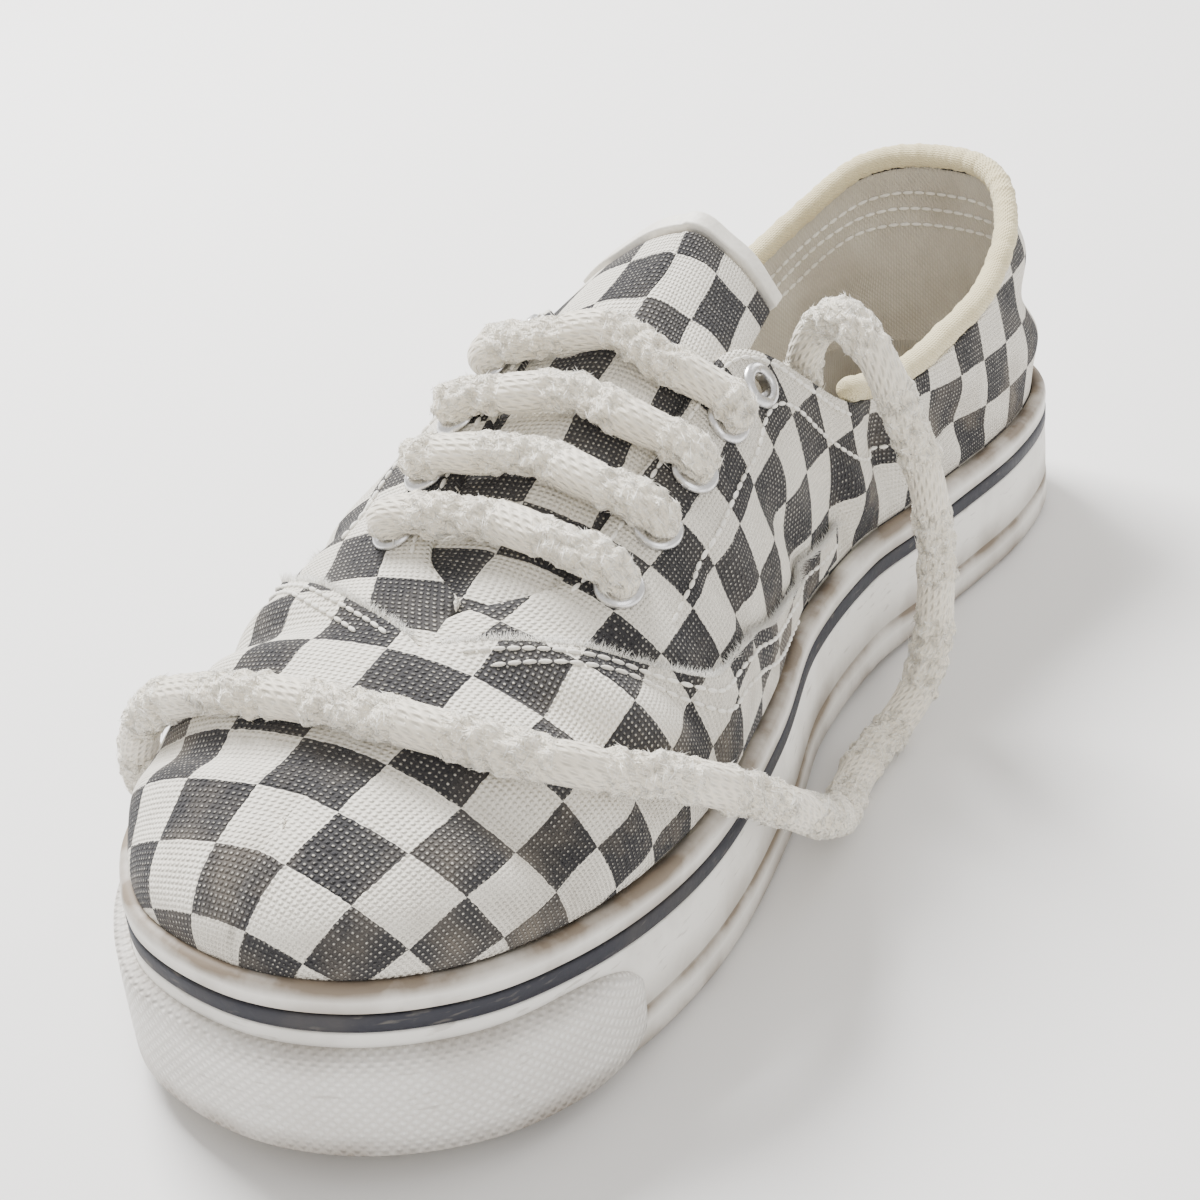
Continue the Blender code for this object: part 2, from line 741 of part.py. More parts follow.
def make_laces(home, cotton, tip):
    for number in range(len(EYELET_ROWS) - 1):
        tube(f"lace_bar_{number + 1}", lace_bar_path(number), LACE_DIAMETER, cotton, home)
    path = lace_end_path()
    tube("lace_end", path, LACE_DIAMETER, cotton, home)
    along = (path[-1] - path[-2]).normalized()
    start = path[-1] + along * CLEARANCE
    tube("lace_tip", [start, start + along * LACE_TIP_LENGTH], LACE_TIP_DIAMETER, tip, home)


def main():
    clear_scene()
    home = bpy.data.collections.new("sneaker")
    cutters = bpy.data.collections.new("cutters")
    bpy.context.scene.collection.children.link(home)
    bpy.context.scene.collection.children.link(cutters)
    canvas = finish("canvas", (0.42, 0.41, 0.39), 0.9)
    panel = finish("panel canvas", (0.30, 0.30, 0.30), 0.9)
    rubber = finish("white rubber", (0.86, 0.85, 0.81), 0.55)
    guard = finish("guard rubber", (0.88, 0.87, 0.84), 0.65)
    dark = finish("dark rubber", (0.02, 0.02, 0.03), 0.45)
    gum = finish("sole rubber", (0.80, 0.77, 0.68), 0.7)
    lining = finish("lining", (0.80, 0.78, 0.72), 0.9)
    padded = finish("collar cloth", (0.85, 0.80, 0.58), 0.85)
    cream = finish("bound edge", (0.86, 0.84, 0.79), 0.7)
    metal = finish("eyelet metal", (0.75, 0.75, 0.76), 0.3, 1.0)
    cotton = finish("lace cotton", (0.88, 0.86, 0.79), 0.95)
    sleeve = finish("lace tip", (0.80, 0.78, 0.70), 0.35)
    make_outsole(home, cutters, gum)
    make_foxing(home, rubber, dark, guard)
    make_insole(home, lining)
    make_upper(home, cutters, canvas)
    make_panels(home, panel)
    tube("collar_binding", collar_path(), COLLAR_ROLL, padded, home)
    make_tongue(home, canvas, cream)
    make_eyelets(home, metal)
    make_laces(home, cotton, sleeve)


if __name__ == "__main__":
    main()
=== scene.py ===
"""Dresses the worn checked canvas sneaker: cloth, rubber, stitches, fluffy laces, floor, light and camera."""
import logging
import math
from dataclasses import dataclass
from enum import Enum
from typing import Callable, Sequence

import bmesh
import bpy
import numpy as np
from mathutils import Matrix, Vector, noise


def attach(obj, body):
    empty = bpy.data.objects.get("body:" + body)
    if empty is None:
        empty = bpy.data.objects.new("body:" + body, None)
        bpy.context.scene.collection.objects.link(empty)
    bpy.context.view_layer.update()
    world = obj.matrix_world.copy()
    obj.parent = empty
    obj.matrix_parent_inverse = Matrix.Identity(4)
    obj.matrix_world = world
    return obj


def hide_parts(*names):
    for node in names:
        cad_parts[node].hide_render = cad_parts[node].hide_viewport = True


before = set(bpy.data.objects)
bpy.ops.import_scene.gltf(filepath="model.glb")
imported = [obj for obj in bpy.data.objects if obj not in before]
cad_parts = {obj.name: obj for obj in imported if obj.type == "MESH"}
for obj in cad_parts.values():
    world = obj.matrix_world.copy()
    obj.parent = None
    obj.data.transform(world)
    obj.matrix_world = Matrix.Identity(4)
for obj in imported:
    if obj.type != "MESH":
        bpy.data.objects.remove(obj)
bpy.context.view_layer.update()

LOG = logging.getLogger("sneaker")
MM = 0.001
ROOT = "root"
CLEARANCE = 0.3 * MM
Array = np.ndarray
Colour = tuple[float, float, float]
Node = bpy.types.Node
Socket = bpy.types.NodeSocket
Material = bpy.types.Material
Piece = bpy.types.Object
NodeTree = bpy.types.GeometryNodeTree
BAND = 0.314
SHORTEST, LONGEST = 0.45, 1.3
STITCH_SHARE = 0.46
THREAD = 0.45 * MM
WELD = 0.01 * MM
POINTED = 0.001 * MM
OFF_FLOOR = 0.1 * MM
SENSOR = 36.0
SAMPLES, LEVELS = 105, 25

HEEL, WAIST, BALL, TOE = 73 * MM, 71.5 * MM, 105 * MM, 92 * MM
OUTLINE = (
    (0.0155, 0.274, 0.0155, 0.274, HEEL), (0.0655, 0.432, 0.0620, 0.438, HEEL),
    (0.1550, 0.486, 0.1550, 0.514, HEEL), (0.2760, 0.461, 0.2760, 0.531, WAIST),
    (0.3860, 0.441, 0.3970, 0.559, WAIST), (0.4900, 0.333, 0.5100, 0.438, BALL),
    (0.6000, 0.424, 0.6280, 0.495, BALL), (0.7030, 0.484, 0.7240, 0.505, BALL),
    (0.7930, 0.495, 0.8140, 0.476, BALL), (0.8690, 0.533, 0.8830, 0.467, TOE),
    (0.9310, 0.457, 0.9410, 0.337, TOE), (0.9790, 0.304, 0.9860, 0.152, TOE),
)
LAST = (
    (0.131, 1.50, 0.000, 0.28, 0.045, 0.35, 0.15), (0.138, 1.49, 0.000, 0.28, 0.045, 0.36, 0.15),
    (0.159, 1.46, 0.000, 0.28, 0.047, 0.40, 0.15), (0.214, 1.39, 0.000, 0.29, 0.050, 0.46, 0.17),
    (0.303, 1.26, 0.004, 0.34, 0.052, 0.58, 0.16), (0.393, 1.13, 0.008, 0.46, 0.050, 0.72, 0.12),
    (0.490, 0.99, 0.012, 0.55, 0.042, 0.80, 0.08), (0.600, 0.84, 0.016, 0.58, 0.034, 0.80, 0.06),
    (0.703, 0.70, 0.022, 0.56, 0.030, 0.76, 0.05), (0.790, 0.615, 0.030, 0.52, 0.028, 0.72, 0.04),
    (0.848, 0.580, 0.038, 0.50, 0.024, 0.68, 0.03), (0.887, 0.560, 0.046, 0.50, 0.020, 0.62, 0.03),
    (0.911, 0.545, 0.054, 0.50, 0.018, 0.58, 0.03), (0.922, 0.535, 0.060, 0.50, 0.018, 0.55, 0.03),
)
RING = (
    (2.45, -1.6), (2.40, 0.9), (2.7, 1.35), (3.4, 1.5), (4.2, 1.25),
    (4.65, 0.6), (4.6, 0.3), (2.8, 0.25), (2.8, -1.6),
)
EDGE = (
    0.385, 0.385, 0.38, 0.37, 0.35, 0.325, 0.30, 0.285, 0.275, 0.28,
    0.32, 0.47, 0.70, 0.76, 0.79, 0.81, 0.84, 1.0, 1.0,
)
LACE_ROUTE = (
    (0.0150, 0.0320, 0.0520), (0.0175, 0.0305, 0.0620), (0.0200, 0.0290, 0.0710),
    (0.0225, 0.0270, 0.0790), (0.0265, 0.0265, 0.0850), (0.0325, 0.0240, 0.0875),
    (0.0395, 0.0225, 0.0820), (0.0455, 0.0225, 0.0700), (0.0495, 0.0240, 0.0560),
    (0.0505, 0.0260, 0.0420), (0.0500, 0.0270, 0.0290), (0.0495, 0.0255, 0.0170),
    (0.0485, 0.0205, 0.0090), (0.0475, 0.0120, 0.0050), (0.0475, 0.0010, 0.0045),
    (0.0495, -0.0100, 0.0050), (0.0530, -0.0210, 0.0075), (0.0570, -0.0330, 0.0140),
    (0.0595, -0.0450, 0.0230), (0.0595, -0.0570, 0.0330), (0.0570, -0.0680, 0.0420),
    (0.0525, -0.0780, 0.0490), (0.0465, -0.0870, 0.0540), (0.0380, -0.0945, 0.0585),
    (0.0260, -0.0990, 0.0615), (0.0120, -0.1015, 0.0630), (-0.0030, -0.1025, 0.0625),
    (-0.0170, -0.1030, 0.0605), (-0.0300, -0.1025, 0.0565), (-0.0410, -0.1010, 0.0505),
    (-0.0500, -0.0980, 0.0410), (-0.0570, -0.0935, 0.0280), (-0.0615, -0.0870, 0.0160),
    (-0.0645, -0.0780, 0.0070), (-0.0660, -0.0660, 0.0045), (-0.0675, -0.0520, 0.0045),
    (-0.0690, -0.0380, 0.0045),
)


class Side(Enum):
    """The two sides of the shoe, as the sign of a place round the outline."""

    INNER = 1
    OUTER = -1


def catmull(rows: Sequence[Array], part: Array) -> Array:
    """Smooth curve between the middle two of four rows.

    Args:
        rows: the four rows.
        part: how far along, 0 to 1.
    Returns:
        The value there.
    """
    a, b, c, d = rows
    bend, twist = 2 * a - 5 * b + 4 * c - d, 3 * b - a - 3 * c + d
    return 0.5 * (2 * b + (c - a) * part + bend * part**2 + twist * part**3)


def curve(rows: Sequence, place: Array) -> Array:
    """Smooth curve through rows, its ends held.

    Args:
        rows: numbers, or rows of numbers.
        place: fractional row numbers.
    Returns:
        One value for each place.
    """
    table = np.asarray(rows, float)
    last = len(table) - 1
    place = np.clip(np.asarray(place, float), 0, last)
    low = np.minimum(place.astype(int), last - 1)
    part = (place - low)[..., None] if table.ndim > 1 else place - low
    return catmull([table[np.clip(low + step, 0, last)] for step in (-1, 0, 1, 2)], part)


def ease(low: float, high: float, value: Array) -> Array:
    """0 below low, 1 above high, smooth between."""
    part = np.clip((np.asarray(value, float) - low) / (high - low), 0, 1)
    return part * part * (3 - 2 * part)


def unit(ways: Array) -> Array:
    """Directions of length one."""
    return ways / np.linalg.norm(ways, axis=-1, keepdims=True)


def run_along(path: Array) -> Array:
    """Length of a path up to each of its points."""
    return np.concatenate([[0], np.cumsum(np.linalg.norm(np.diff(path, axis=0), axis=1))])


def linked(name: str, data: object) -> bpy.types.Object:
    """Puts a new object into the scene."""
    made = bpy.data.objects.new(name, data)
    bpy.context.scene.collection.objects.link(made)
    return made


def joined(tree: bpy.types.NodeTree, kind: str, sockets: dict, settings: dict) -> bpy.types.Node:
    """Adds a node to a tree.

    Args:
        tree: the tree.
        kind: its type.
        sockets: input name or number to a value or a socket.
        settings: properties of the node.
    Returns:
        The node.
    """
    made = tree.nodes.new(kind)
    for key, value in settings.items():
        setattr(made, key, value)
    for key, value in sockets.items():
        if isinstance(value, Socket):
            tree.links.new(value, made.inputs[key])
        else:
            made.inputs[key].default_value = value
    return made


@dataclass(frozen=True)
class Crease:
    """A soft trough, or a ridge where depth is positive, at a place of the upper, sizes in metres."""

    place: float
    climb: float
    reach: float
    width: float
    depth: float
    lean: float


CREASES = (
    Crease(4.6, 0.17, 11 * MM, 5.0 * MM, -2.6 * MM, 70),
    Crease(5.1, 0.14, 9 * MM, 4.0 * MM, 1.6 * MM, 60),
    Crease(3.7, 0.12, 14 * MM, 5.0 * MM, -1.6 * MM, 25),
    Crease(6.2, 0.25, 16 * MM, 4.0 * MM, -1.3 * MM, 55),
    Crease(7.2, 0.40, 15 * MM, 3.5 * MM, -1.2 * MM, 75),
    Crease(8.1, 0.45, 18 * MM, 3.5 * MM, -1.4 * MM, 80),
    Crease(8.8, 0.50, 20 * MM, 4.0 * MM, -1.6 * MM, 88),
    Crease(-8.6, 0.50, 20 * MM, 4.0 * MM, -1.5 * MM, 95),
    Crease(-7.6, 0.35, 16 * MM, 4.0 * MM, -1.3 * MM, 80),
    Crease(-4.8, 0.15, 12 * MM, 5.0 * MM, -2.0 * MM, 110),
    Crease(1.6, 0.20, 16 * MM, 5.5 * MM, -1.8 * MM, 10),
    Crease(-1.9, 0.18, 15 * MM, 5.0 * MM, -1.6 * MM, 8),
    Crease(9.9, 0.45, 15 * MM, 6.0 * MM, -1.3 * MM, 60),
    Crease(-10.2, 0.50, 15 * MM, 6.0 * MM, -1.2 * MM, 120),
)


@dataclass
class LastForm:
    """Form of the last, read at a place round the outline, inner side positive, and a climb to the ridge."""

    length: float = 290 * MM
    instep: float = 98 * MM
    sole: float = 13 * MM
    foxing: float = 30 * MM
    foxing_rise: float = 3 * MM
    band: float = 4 * MM
    canvas: float = 1.8 * MM
    bumper: float = 1.8 * MM
    crown: float = 7 * MM

    def __post_init__(self) -> None:
        """Works out the closed outline, its middle and the lengths that cloth is laid out by."""
        inner = [(row[1] * row[4], row[0] * self.length) for row in OUTLINE]
        outer = [(-row[3] * row[4], row[2] * self.length) for row in OUTLINE]
        self.loop = np.array([(0.0, 0.0), *inner, (0.098 * TOE, self.length), *outer[::-1]])
        self.middle = (self.loop[:, 0].max() + self.loop[:, 0].min()) / 2
        self.half = (self.length + self.bumper + CLEARANCE) / 2
        self.tip = len(OUTLINE) + 1
        self.places = np.linspace(-self.tip, self.tip, SAMPLES)
        along = run_along(self.skin(self.places, np.full(SAMPLES, 0.15)))
        self.along = along - np.interp(0, self.places, along)
        climbs = np.repeat(np.linspace(0, 1, LEVELS)[None], SAMPLES, 0)
        section = self.skin(np.repeat(self.places[:, None], LEVELS, 1), climbs)
        self.section = np.linalg.norm(np.diff(section, axis=1), axis=2).sum(1)

    def world(self, x: Array, station: Array, height: Array) -> Array:
        """Point at a station measured from the back of the heel."""
        return np.stack(np.broadcast_arrays(x - self.middle, self.half - station, height), -1)

    def outline(self, place: Array, inset: Array) -> tuple[Array, Array]:
        """Outline moved inwards.

        Args:
            place: place round the outline.
            inset: how far inwards.
        Returns:
            x with station, and the outward direction in x and y.
        """
        def at(where: Array) -> Array:
            """Point of the closed outline."""
            low = np.floor(where).astype(int)
            around = [self.loop[(low + step) % len(self.loop)] for step in (-1, 0, 1, 2)]
            return catmull(around, (where - low)[..., None])

        place = np.asarray(place, float)
        ahead = at(place + 0.02) - at(place - 0.02)
        out = np.stack([ahead[..., 1], -ahead[..., 0]], -1) / np.linalg.norm(ahead, axis=-1, keepdims=True)
        return at(place) - np.asarray(inset, float)[..., None] * out, out * (1, -1)

    def lift(self, station: Array) -> Array:
        """Height of the underside above the floor."""
        share = station / self.length
        toe, heel = np.clip((share - 0.72) / 0.28, 0, None), np.clip((0.06 - share) / 0.06, 0, None)
        return (6 * toe**1.8 + heel**2 + 1.5 * (ease(0.30, 0.38, share) - ease(0.49, 0.57, share))) * MM

    def foxing_top(self, station: Array) -> Array:
        """Height of the foxing's lip."""
        return self.lift(station) + self.foxing + self.foxing_rise * ease(0.70, 0.96, station / self.length)

    def skin(self, place: Array, climb: Array) -> Array:
        """Outer skin of the upper, unworn.

        Args:
            place: place round the outline.
            climb: -1 to 0 inside the foxing, then up to the ridge at 1.
        Returns:
            The points.
        """
        here, out = self.outline(place, self.band + CLEARANCE)
        station = here[..., 1]
        foot = self.world(here[..., 0], station, self.foxing_top(station) + CLEARANCE)
        row = np.abs(place)
        row = np.where(row > self.tip, 2 * self.tip - row, row)
        share, high, aside, rise, bulge, crown, drop = np.moveaxis(curve(LAST, row), -1, 0)
        ridge = self.world(aside * BALL, share * self.length, high * self.instep)
        height = ridge[..., 2] - foot[..., 2]
        up = np.array([0, 0, 1.0])
        first = foot + np.concatenate([out * (bulge * BALL)[..., None], (rise * height)[..., None]], -1)
        second = ridge + (foot - ridge) * (1 - up) * crown[..., None] - up * (drop * height)[..., None]
        part = np.clip(climb, 0, None)[..., None]
        rest = 1 - part
        point = rest**3 * foot + 3 * rest**2 * part * first + 3 * rest * part**2 * second + part**3 * ridge
        depth = foot[..., 2] - self.lift(station) - self.sole - CLEARANCE
        return point + up * (np.clip(climb, None, 0) * depth)[..., None]

    def normal(self, place: Array, climb: Array) -> Array:
        """Outward direction of the skin, the same from both sides at the ridge."""
        place, climb = np.broadcast_arrays(np.asarray(place, float), np.asarray(climb, float))
        ridge = (climb > 0.999)[..., None]
        climb = np.where(np.abs(place) > 12.3, np.minimum(climb, 0.96), climb)

        def one(where: Array) -> Array:
            """Direction on one side."""
            along = self.skin(where + 0.02, climb) - self.skin(where - 0.02, climb)
            up = self.skin(where, climb + 0.02) - self.skin(where, np.maximum(climb - 0.02, 0.001))
            up = np.where((climb <= 0)[..., None], (0, 0, 1.0), up)
            return unit(np.cross(up, along))

        found = one(place)
        return unit(np.where(ridge, found + one(-place), found))

    def layout(self, place: Array, climb: Array) -> Array:
        """Length along the foot and up the section, which is how the quarters are cut."""
        up = climb * np.interp(place, self.places, self.section)
        return np.stack([np.interp(place, self.places, self.along), up], -1)

    def wear(self, place: Array, climb: Array) -> Array:
        """How far the worn skin stands proud of the last."""
        flat = self.layout(place, climb)
        total = np.zeros(flat.shape[:-1])
        for crease in CREASES:
            off = flat - self.layout(np.array(crease.place), np.array(crease.climb))
            turn = math.radians(crease.lean)
            run = off[..., 0] * math.cos(turn) + off[..., 1] * math.sin(turn)
            across = (off[..., 1] * math.cos(turn) - off[..., 0] * math.sin(turn)) / crease.width
            shape = np.exp(-across**2) - 0.45 * np.exp(-((np.abs(across) - 1.9) ** 2))
            total += crease.depth * np.exp(-((run / crease.reach) ** 2)) * shape
        ripple = np.sin(flat[..., 0] / (9 * MM)) * np.sin(flat[..., 1] / (7 * MM) + flat[..., 0] / (23 * MM))
        return (1.35 * total + 0.25 * MM * ripple) * ease(0.0, 0.06, climb)

    def worn(self, place: Array, climb: Array, off: float = 0.0) -> Array:
        """Worn skin, moved outwards by off."""
        place, climb = np.broadcast_arrays(np.asarray(place, float), np.asarray(climb, float))
        down = (1 - climb) * np.interp(place, self.places, self.section)
        slope = (self.ridge_slope(place) + self.ridge_slope(-place)) / 2
        round_off = slope * (np.sqrt(down**2 + self.crown**2) - down)
        point = self.skin(place, climb) - np.array([0, 0, 1.0]) * round_off[..., None]
        here, over = self.wear(place, climb), self.wear(-place, climb)
        shared = ease(0.80, 1.0, climb) / 2
        return point + self.normal(place, climb) * (here * (1 - shared) + over * shared + off)[..., None]

    def ridge_slope(self, place: Array) -> Array:
        """How steeply the skin falls away from the ridge."""
        step = self.skin(place, np.ones_like(place)) - self.skin(place, np.full_like(place, 0.96))
        flat = np.maximum(np.linalg.norm(step[..., :2], axis=-1), 0.5 * MM)
        return np.clip(step[..., 2] / flat, 0, 0.6)

    def edge(self, place: Array) -> Array:
        """Climb at which the upper ends."""
        row = np.abs(place)
        climb = curve(EDGE, 2 * row) + np.where(place < 0, 0.05 * ease(5.3, 6.0, row), 0)
        return np.where(row >= 8.5, 1.0, np.minimum(climb, 1.0))

    def below_edge(self, place: Array, distance: float) -> Array:
        """Climb at a distance below the upper's edge."""
        return self.edge(place) - distance / np.interp(place, self.places, self.section)


FORM = LastForm()


class Paint:
    """Adds and joins the shader nodes of one material."""

    def __init__(self, name: str, rough: float, sheen: float = 0.0, metal: float = 0.0) -> None:
        """Starts a material.

        Args:
            name: its name.
            rough: roughness.
            sheen: weight of the cloth sheen.
            metal: metallic value.
        """
        self.material = bpy.data.materials.new(name)
        self.material.use_nodes = True
        self.tree = self.material.node_tree
        self.shader = self.tree.nodes["Principled BSDF"]
        for key, value in (("Roughness", rough), ("Sheen Weight", sheen), ("Metallic", metal)):
            self.shader.inputs[key].default_value = value
        self.place = self.tree.nodes.new("ShaderNodeTexCoord")

    def node(self, kind: str, sockets: dict, out: int | str = 0, **settings: object) -> Socket:
        """Adds a node and gives back one of its outputs, as joined does."""
        return joined(self.tree, kind, sockets, settings).outputs[out]

    def noise(self, vector: Socket, scale: float, detail: float = 3.0) -> Socket:
        """Noise value."""
        return self.node("ShaderNodeTexNoise", {"Vector": vector, "Scale": scale, "Detail": detail})

    def span(self, value: object, low: float, high: float, start: float = 0.0, end: float = 1.0) -> Socket:
        """Value taken from one range to another, held at the ends."""
        return self.node("ShaderNodeMapRange", {0: value, 1: low, 2: high, 3: start, 4: end})

    def bands(self, vector: Socket, period: float, wander: float = 0.0, way: str = "X") -> Socket:
        """Even bands.

        Args:
            vector: where they are read.
            period: their width in metres.
            wander: how far they stray.
            way: the direction that they follow each other in.
        Returns:
            The value across them.
        """
        sockets = {"Vector": vector, "Scale": BAND / period, "Distortion": wander}
        return self.node("ShaderNodeTexWave", sockets, 1, bands_direction=way)

    def sum(self, how: str, one: object, two: object) -> Socket:
        """One sum of two values."""
        return self.node("ShaderNodeMath", {0: one, 1: two}, operation=how)

    def mix(self, part: object, one: object, two: object) -> Socket:
        """Mix of two colours."""
        one, two = ((*c, 1.0) if isinstance(c, tuple) else c for c in (one, two))
        return self.node("ShaderNodeMix", {0: part, 6: one, 7: two}, 2, data_type="RGBA")

    def done(self, colour: object, height: object, depth: float, rough: object = None) -> Material:
        """Joins colour and bump to the shader.

        Args:
            colour: the colour socket.
            height: the bump's height socket.
            depth: the bump's distance in metres.
            rough: roughness socket, if it varies.
        Returns:
            The material.
        """
        bump = self.node("ShaderNodeBump", {"Height": height, "Strength": 1.0, "Distance": depth})
        self.tree.links.new(colour, self.shader.inputs["Base Color"])
        self.tree.links.new(bump, self.shader.inputs["Normal"])
        if rough is not None:
            self.tree.links.new(rough, self.shader.inputs["Roughness"])
        return self.material


@dataclass(frozen=True)
class CheckedCanvas:
    """Coarse checked canvas, flecked by its weave, with painted shade in the gaps between its threads and
    dirty low down, laid out in metres by its UV map.
    """

    square: float = 11.6 * MM
    thread: float = 0.95 * MM
    dark: Colour = (0.013, 0.0125, 0.016)
    cream: Colour = (0.92, 0.875, 0.775)
    dirt: Colour = (0.30, 0.25, 0.19)
    dirt_low: float = 36 * MM
    dirt_high: float = 60 * MM

    def build(self, name: str) -> Material:
        """Makes the material under a name."""
        paint = Paint(name, 0.95, 0.06)
        uv, where = paint.place.outputs["UV"], paint.place.outputs["Object"]
        wander = paint.node("ShaderNodeTexNoise", {"Vector": uv, "Scale": 70.0, "Detail": 2.0}, "Color")
        ragged = paint.node("ShaderNodeTexNoise", {"Vector": uv, "Scale": 1100.0, "Detail": 1.0}, "Color")
        moved = uv
        for shift, size in ((wander, 1.2 * MM), (ragged, 0.5 * MM)):
            centred = paint.node("ShaderNodeVectorMath", {0: shift, 1: (0.5, 0.5, 0.5)}, operation="SUBTRACT")
            sockets = {0: centred, 1: (size, size, 0.0), 2: moved}
            moved = paint.node("ShaderNodeVectorMath", sockets, operation="MULTIPLY_ADD")
        check = paint.node("ShaderNodeTexChecker", {"Vector": moved, "Scale": 1 / self.square}, 1)
        waves = [paint.bands(uv, self.thread, 0.6, way) for way in ("X", "Y")]
        weave = paint.sum("MULTIPLY", *waves)
        fleck = paint.noise(uv, 1300.0, 2.0)
        worn = paint.noise(where, 45.0, 4.0)
        crossing = paint.span(weave, 0.38, 0.85)
        speckle = paint.sum("ADD", fleck, paint.sum("MULTIPLY", worn, 0.5))
        light_fleck = paint.sum("MULTIPLY", crossing, paint.span(speckle, 0.62, 0.92, 0.0, 0.7))
        dark = paint.mix(light_fleck, self.dark, self.cream)
        dark = paint.mix(paint.span(worn, 0.45, 0.80, 0.0, 0.12), dark, (0.30, 0.29, 0.28))
        cream = paint.mix(paint.span(fleck, 0.28, 0.36, 0.18, 0.0), self.cream, (0.42, 0.38, 0.32))
        colour = paint.mix(check, dark, cream)
        # Painted shade: the gaps between the threads, where the weave is low, darkened towards near-black.
        colour = paint.mix(paint.span(weave, 0.0, 0.35, 0.20, 0.0), colour, (0.08, 0.075, 0.07))
        height = paint.node("ShaderNodeSeparateXYZ", {0: where}, 2)
        low = paint.span(height, self.dirt_low, self.dirt_high, 1.0, 0.12)
        patch = paint.span(paint.noise(where, 90.0, 6.0), 0.45, 0.78)
        colour = paint.mix(paint.sum("MULTIPLY", paint.sum("MULTIPLY", low, patch), 0.6), colour, self.dirt)
        relief = paint.sum("ADD", weave, paint.sum("MULTIPLY", fleck, 0.6))
        return paint.done(colour, relief, 0.5 * MM)


@dataclass(frozen=True)
class PlainCloth:
    """Plain cloth, leather or cord: a tone with a woven or grained relief, stains, and painted shade in the
    relief's hollows.
    """

    tone: Colour
    stain_and_shade: Colour
    grain: float = 0.7 * MM
    depth: float = 0.2 * MM
    rough: float = 0.9
    sheen: float = 0.3
    dirtiness: float = 0.5
    woven: bool = True

    def build(self, name: str) -> Material:
        """Makes the material under a name."""
        paint = Paint(name, self.rough, self.sheen)
        uv, where = paint.place.outputs["UV"], paint.place.outputs["Object"]
        fine = paint.noise(where, 0.5 / self.grain, 4.0)
        relief = fine
        if self.woven:
            waves = [paint.bands(uv, self.grain, 0.8, way) for way in ("X", "DIAGONAL")]
            relief = paint.sum("ADD", paint.sum("MULTIPLY", *waves), paint.sum("MULTIPLY", fine, 0.5))
        spots = paint.span(paint.noise(where, 60.0, 6.0), 0.42, 0.75, 0.0, self.dirtiness)
        colour = paint.mix(spots, self.tone, self.stain_and_shade)
        # Painted shade: the relief's hollows mixed towards the stain colour.
        colour = paint.mix(paint.span(relief, 0.15, 0.6, 0.30, 0.0), colour, self.stain_and_shade)
        return paint.done(colour, relief, self.depth)


@dataclass(frozen=True)
class WornRubber:
    """Vulcanised rubber with streaks, grime in patches and where the grime attribute says, and a knurl with
    painted shade in its grooves; the streaks are dark scuffs on pale rubber and painted reflection on dark
    rubber.
    """

    tone: Colour
    grime_and_sheen: Colour = (0.21, 0.165, 0.12)
    rough: float = 0.55
    knurl: float = 0.0
    patches: float = 0.35

    def build(self, name: str) -> Material:
        """Makes the material under a name."""
        paint = Paint(name, self.rough)
        uv, where = paint.place.outputs["UV"], paint.place.outputs["Object"]
        seam = paint.node("ShaderNodeAttribute", {}, "Fac", attribute_name="grime_and_sheen")
        broad, fine = paint.noise(where, 55.0, 6.0), paint.noise(where, 700.0, 4.0)
        streaks = paint.node("ShaderNodeMapping", {"Vector": where, "Scale": (1.0, 1.0, 6.0)})
        # Streaks mixed towards the second colour: dark scuffs on pale rubber; on the dark stripe, light
        # streaks of painted reflection.
        scuff_and_sheen_streaks = paint.span(paint.noise(streaks, 160.0, 5.0), 0.60, 0.70, 0.0, 0.35)
        dirt = paint.sum("MULTIPLY", seam, paint.span(broad, 0.30, 0.55, 0.35, 1.0))
        dirt = paint.sum("ADD", dirt, paint.span(broad, 0.48, 0.78, 0.0, self.patches))
        colour = paint.mix(paint.sum("MAXIMUM", dirt, scuff_and_sheen_streaks), self.tone, self.grime_and_sheen)
        relief = paint.sum("MULTIPLY", fine, 0.35)
        if self.knurl:
            ways = []
            for turn in (0.785, -0.785):
                turned = paint.node("ShaderNodeMapping", {"Vector": uv, "Rotation": (0.0, 0.0, turn)})
                ways.append(paint.bands(turned, self.knurl))
            dots = paint.sum("MULTIPLY", *ways)
            relief = paint.sum("ADD", relief, dots)
            # Painted shade in the knurl's grooves, where the dots are low.
            colour = paint.mix(paint.span(dots, 0.0, 0.35, 0.55, 0.0), colour, (0.45, 0.42, 0.38))
        rough = paint.span(broad, 0.3, 0.7, self.rough - 0.12, self.rough + 0.15)
        return paint.done(colour, relief, 0.35 * MM, rough)


@dataclass(frozen=True)
class DullMetal:
    """Nickelled eyelet metal, fingered and a little tarnished."""

    tone: Colour = (0.72, 0.72, 0.73)

    def build(self, name: str) -> Material:
        """Makes the material under a name."""
        paint = Paint(name, 0.28, 0.0, 1.0)
        fine = paint.noise(paint.place.outputs["Object"], 900.0, 3.0)
        colour = paint.mix(paint.span(fine, 0.5, 0.8, 0.0, 0.6), self.tone, (0.35, 0.33, 0.30))
        return paint.done(colour, fine, 0.03 * MM, paint.span(fine, 0.3, 0.8, 0.2, 0.45))


WHITE_RUBBER = WornRubber((0.86, 0.84, 0.79))
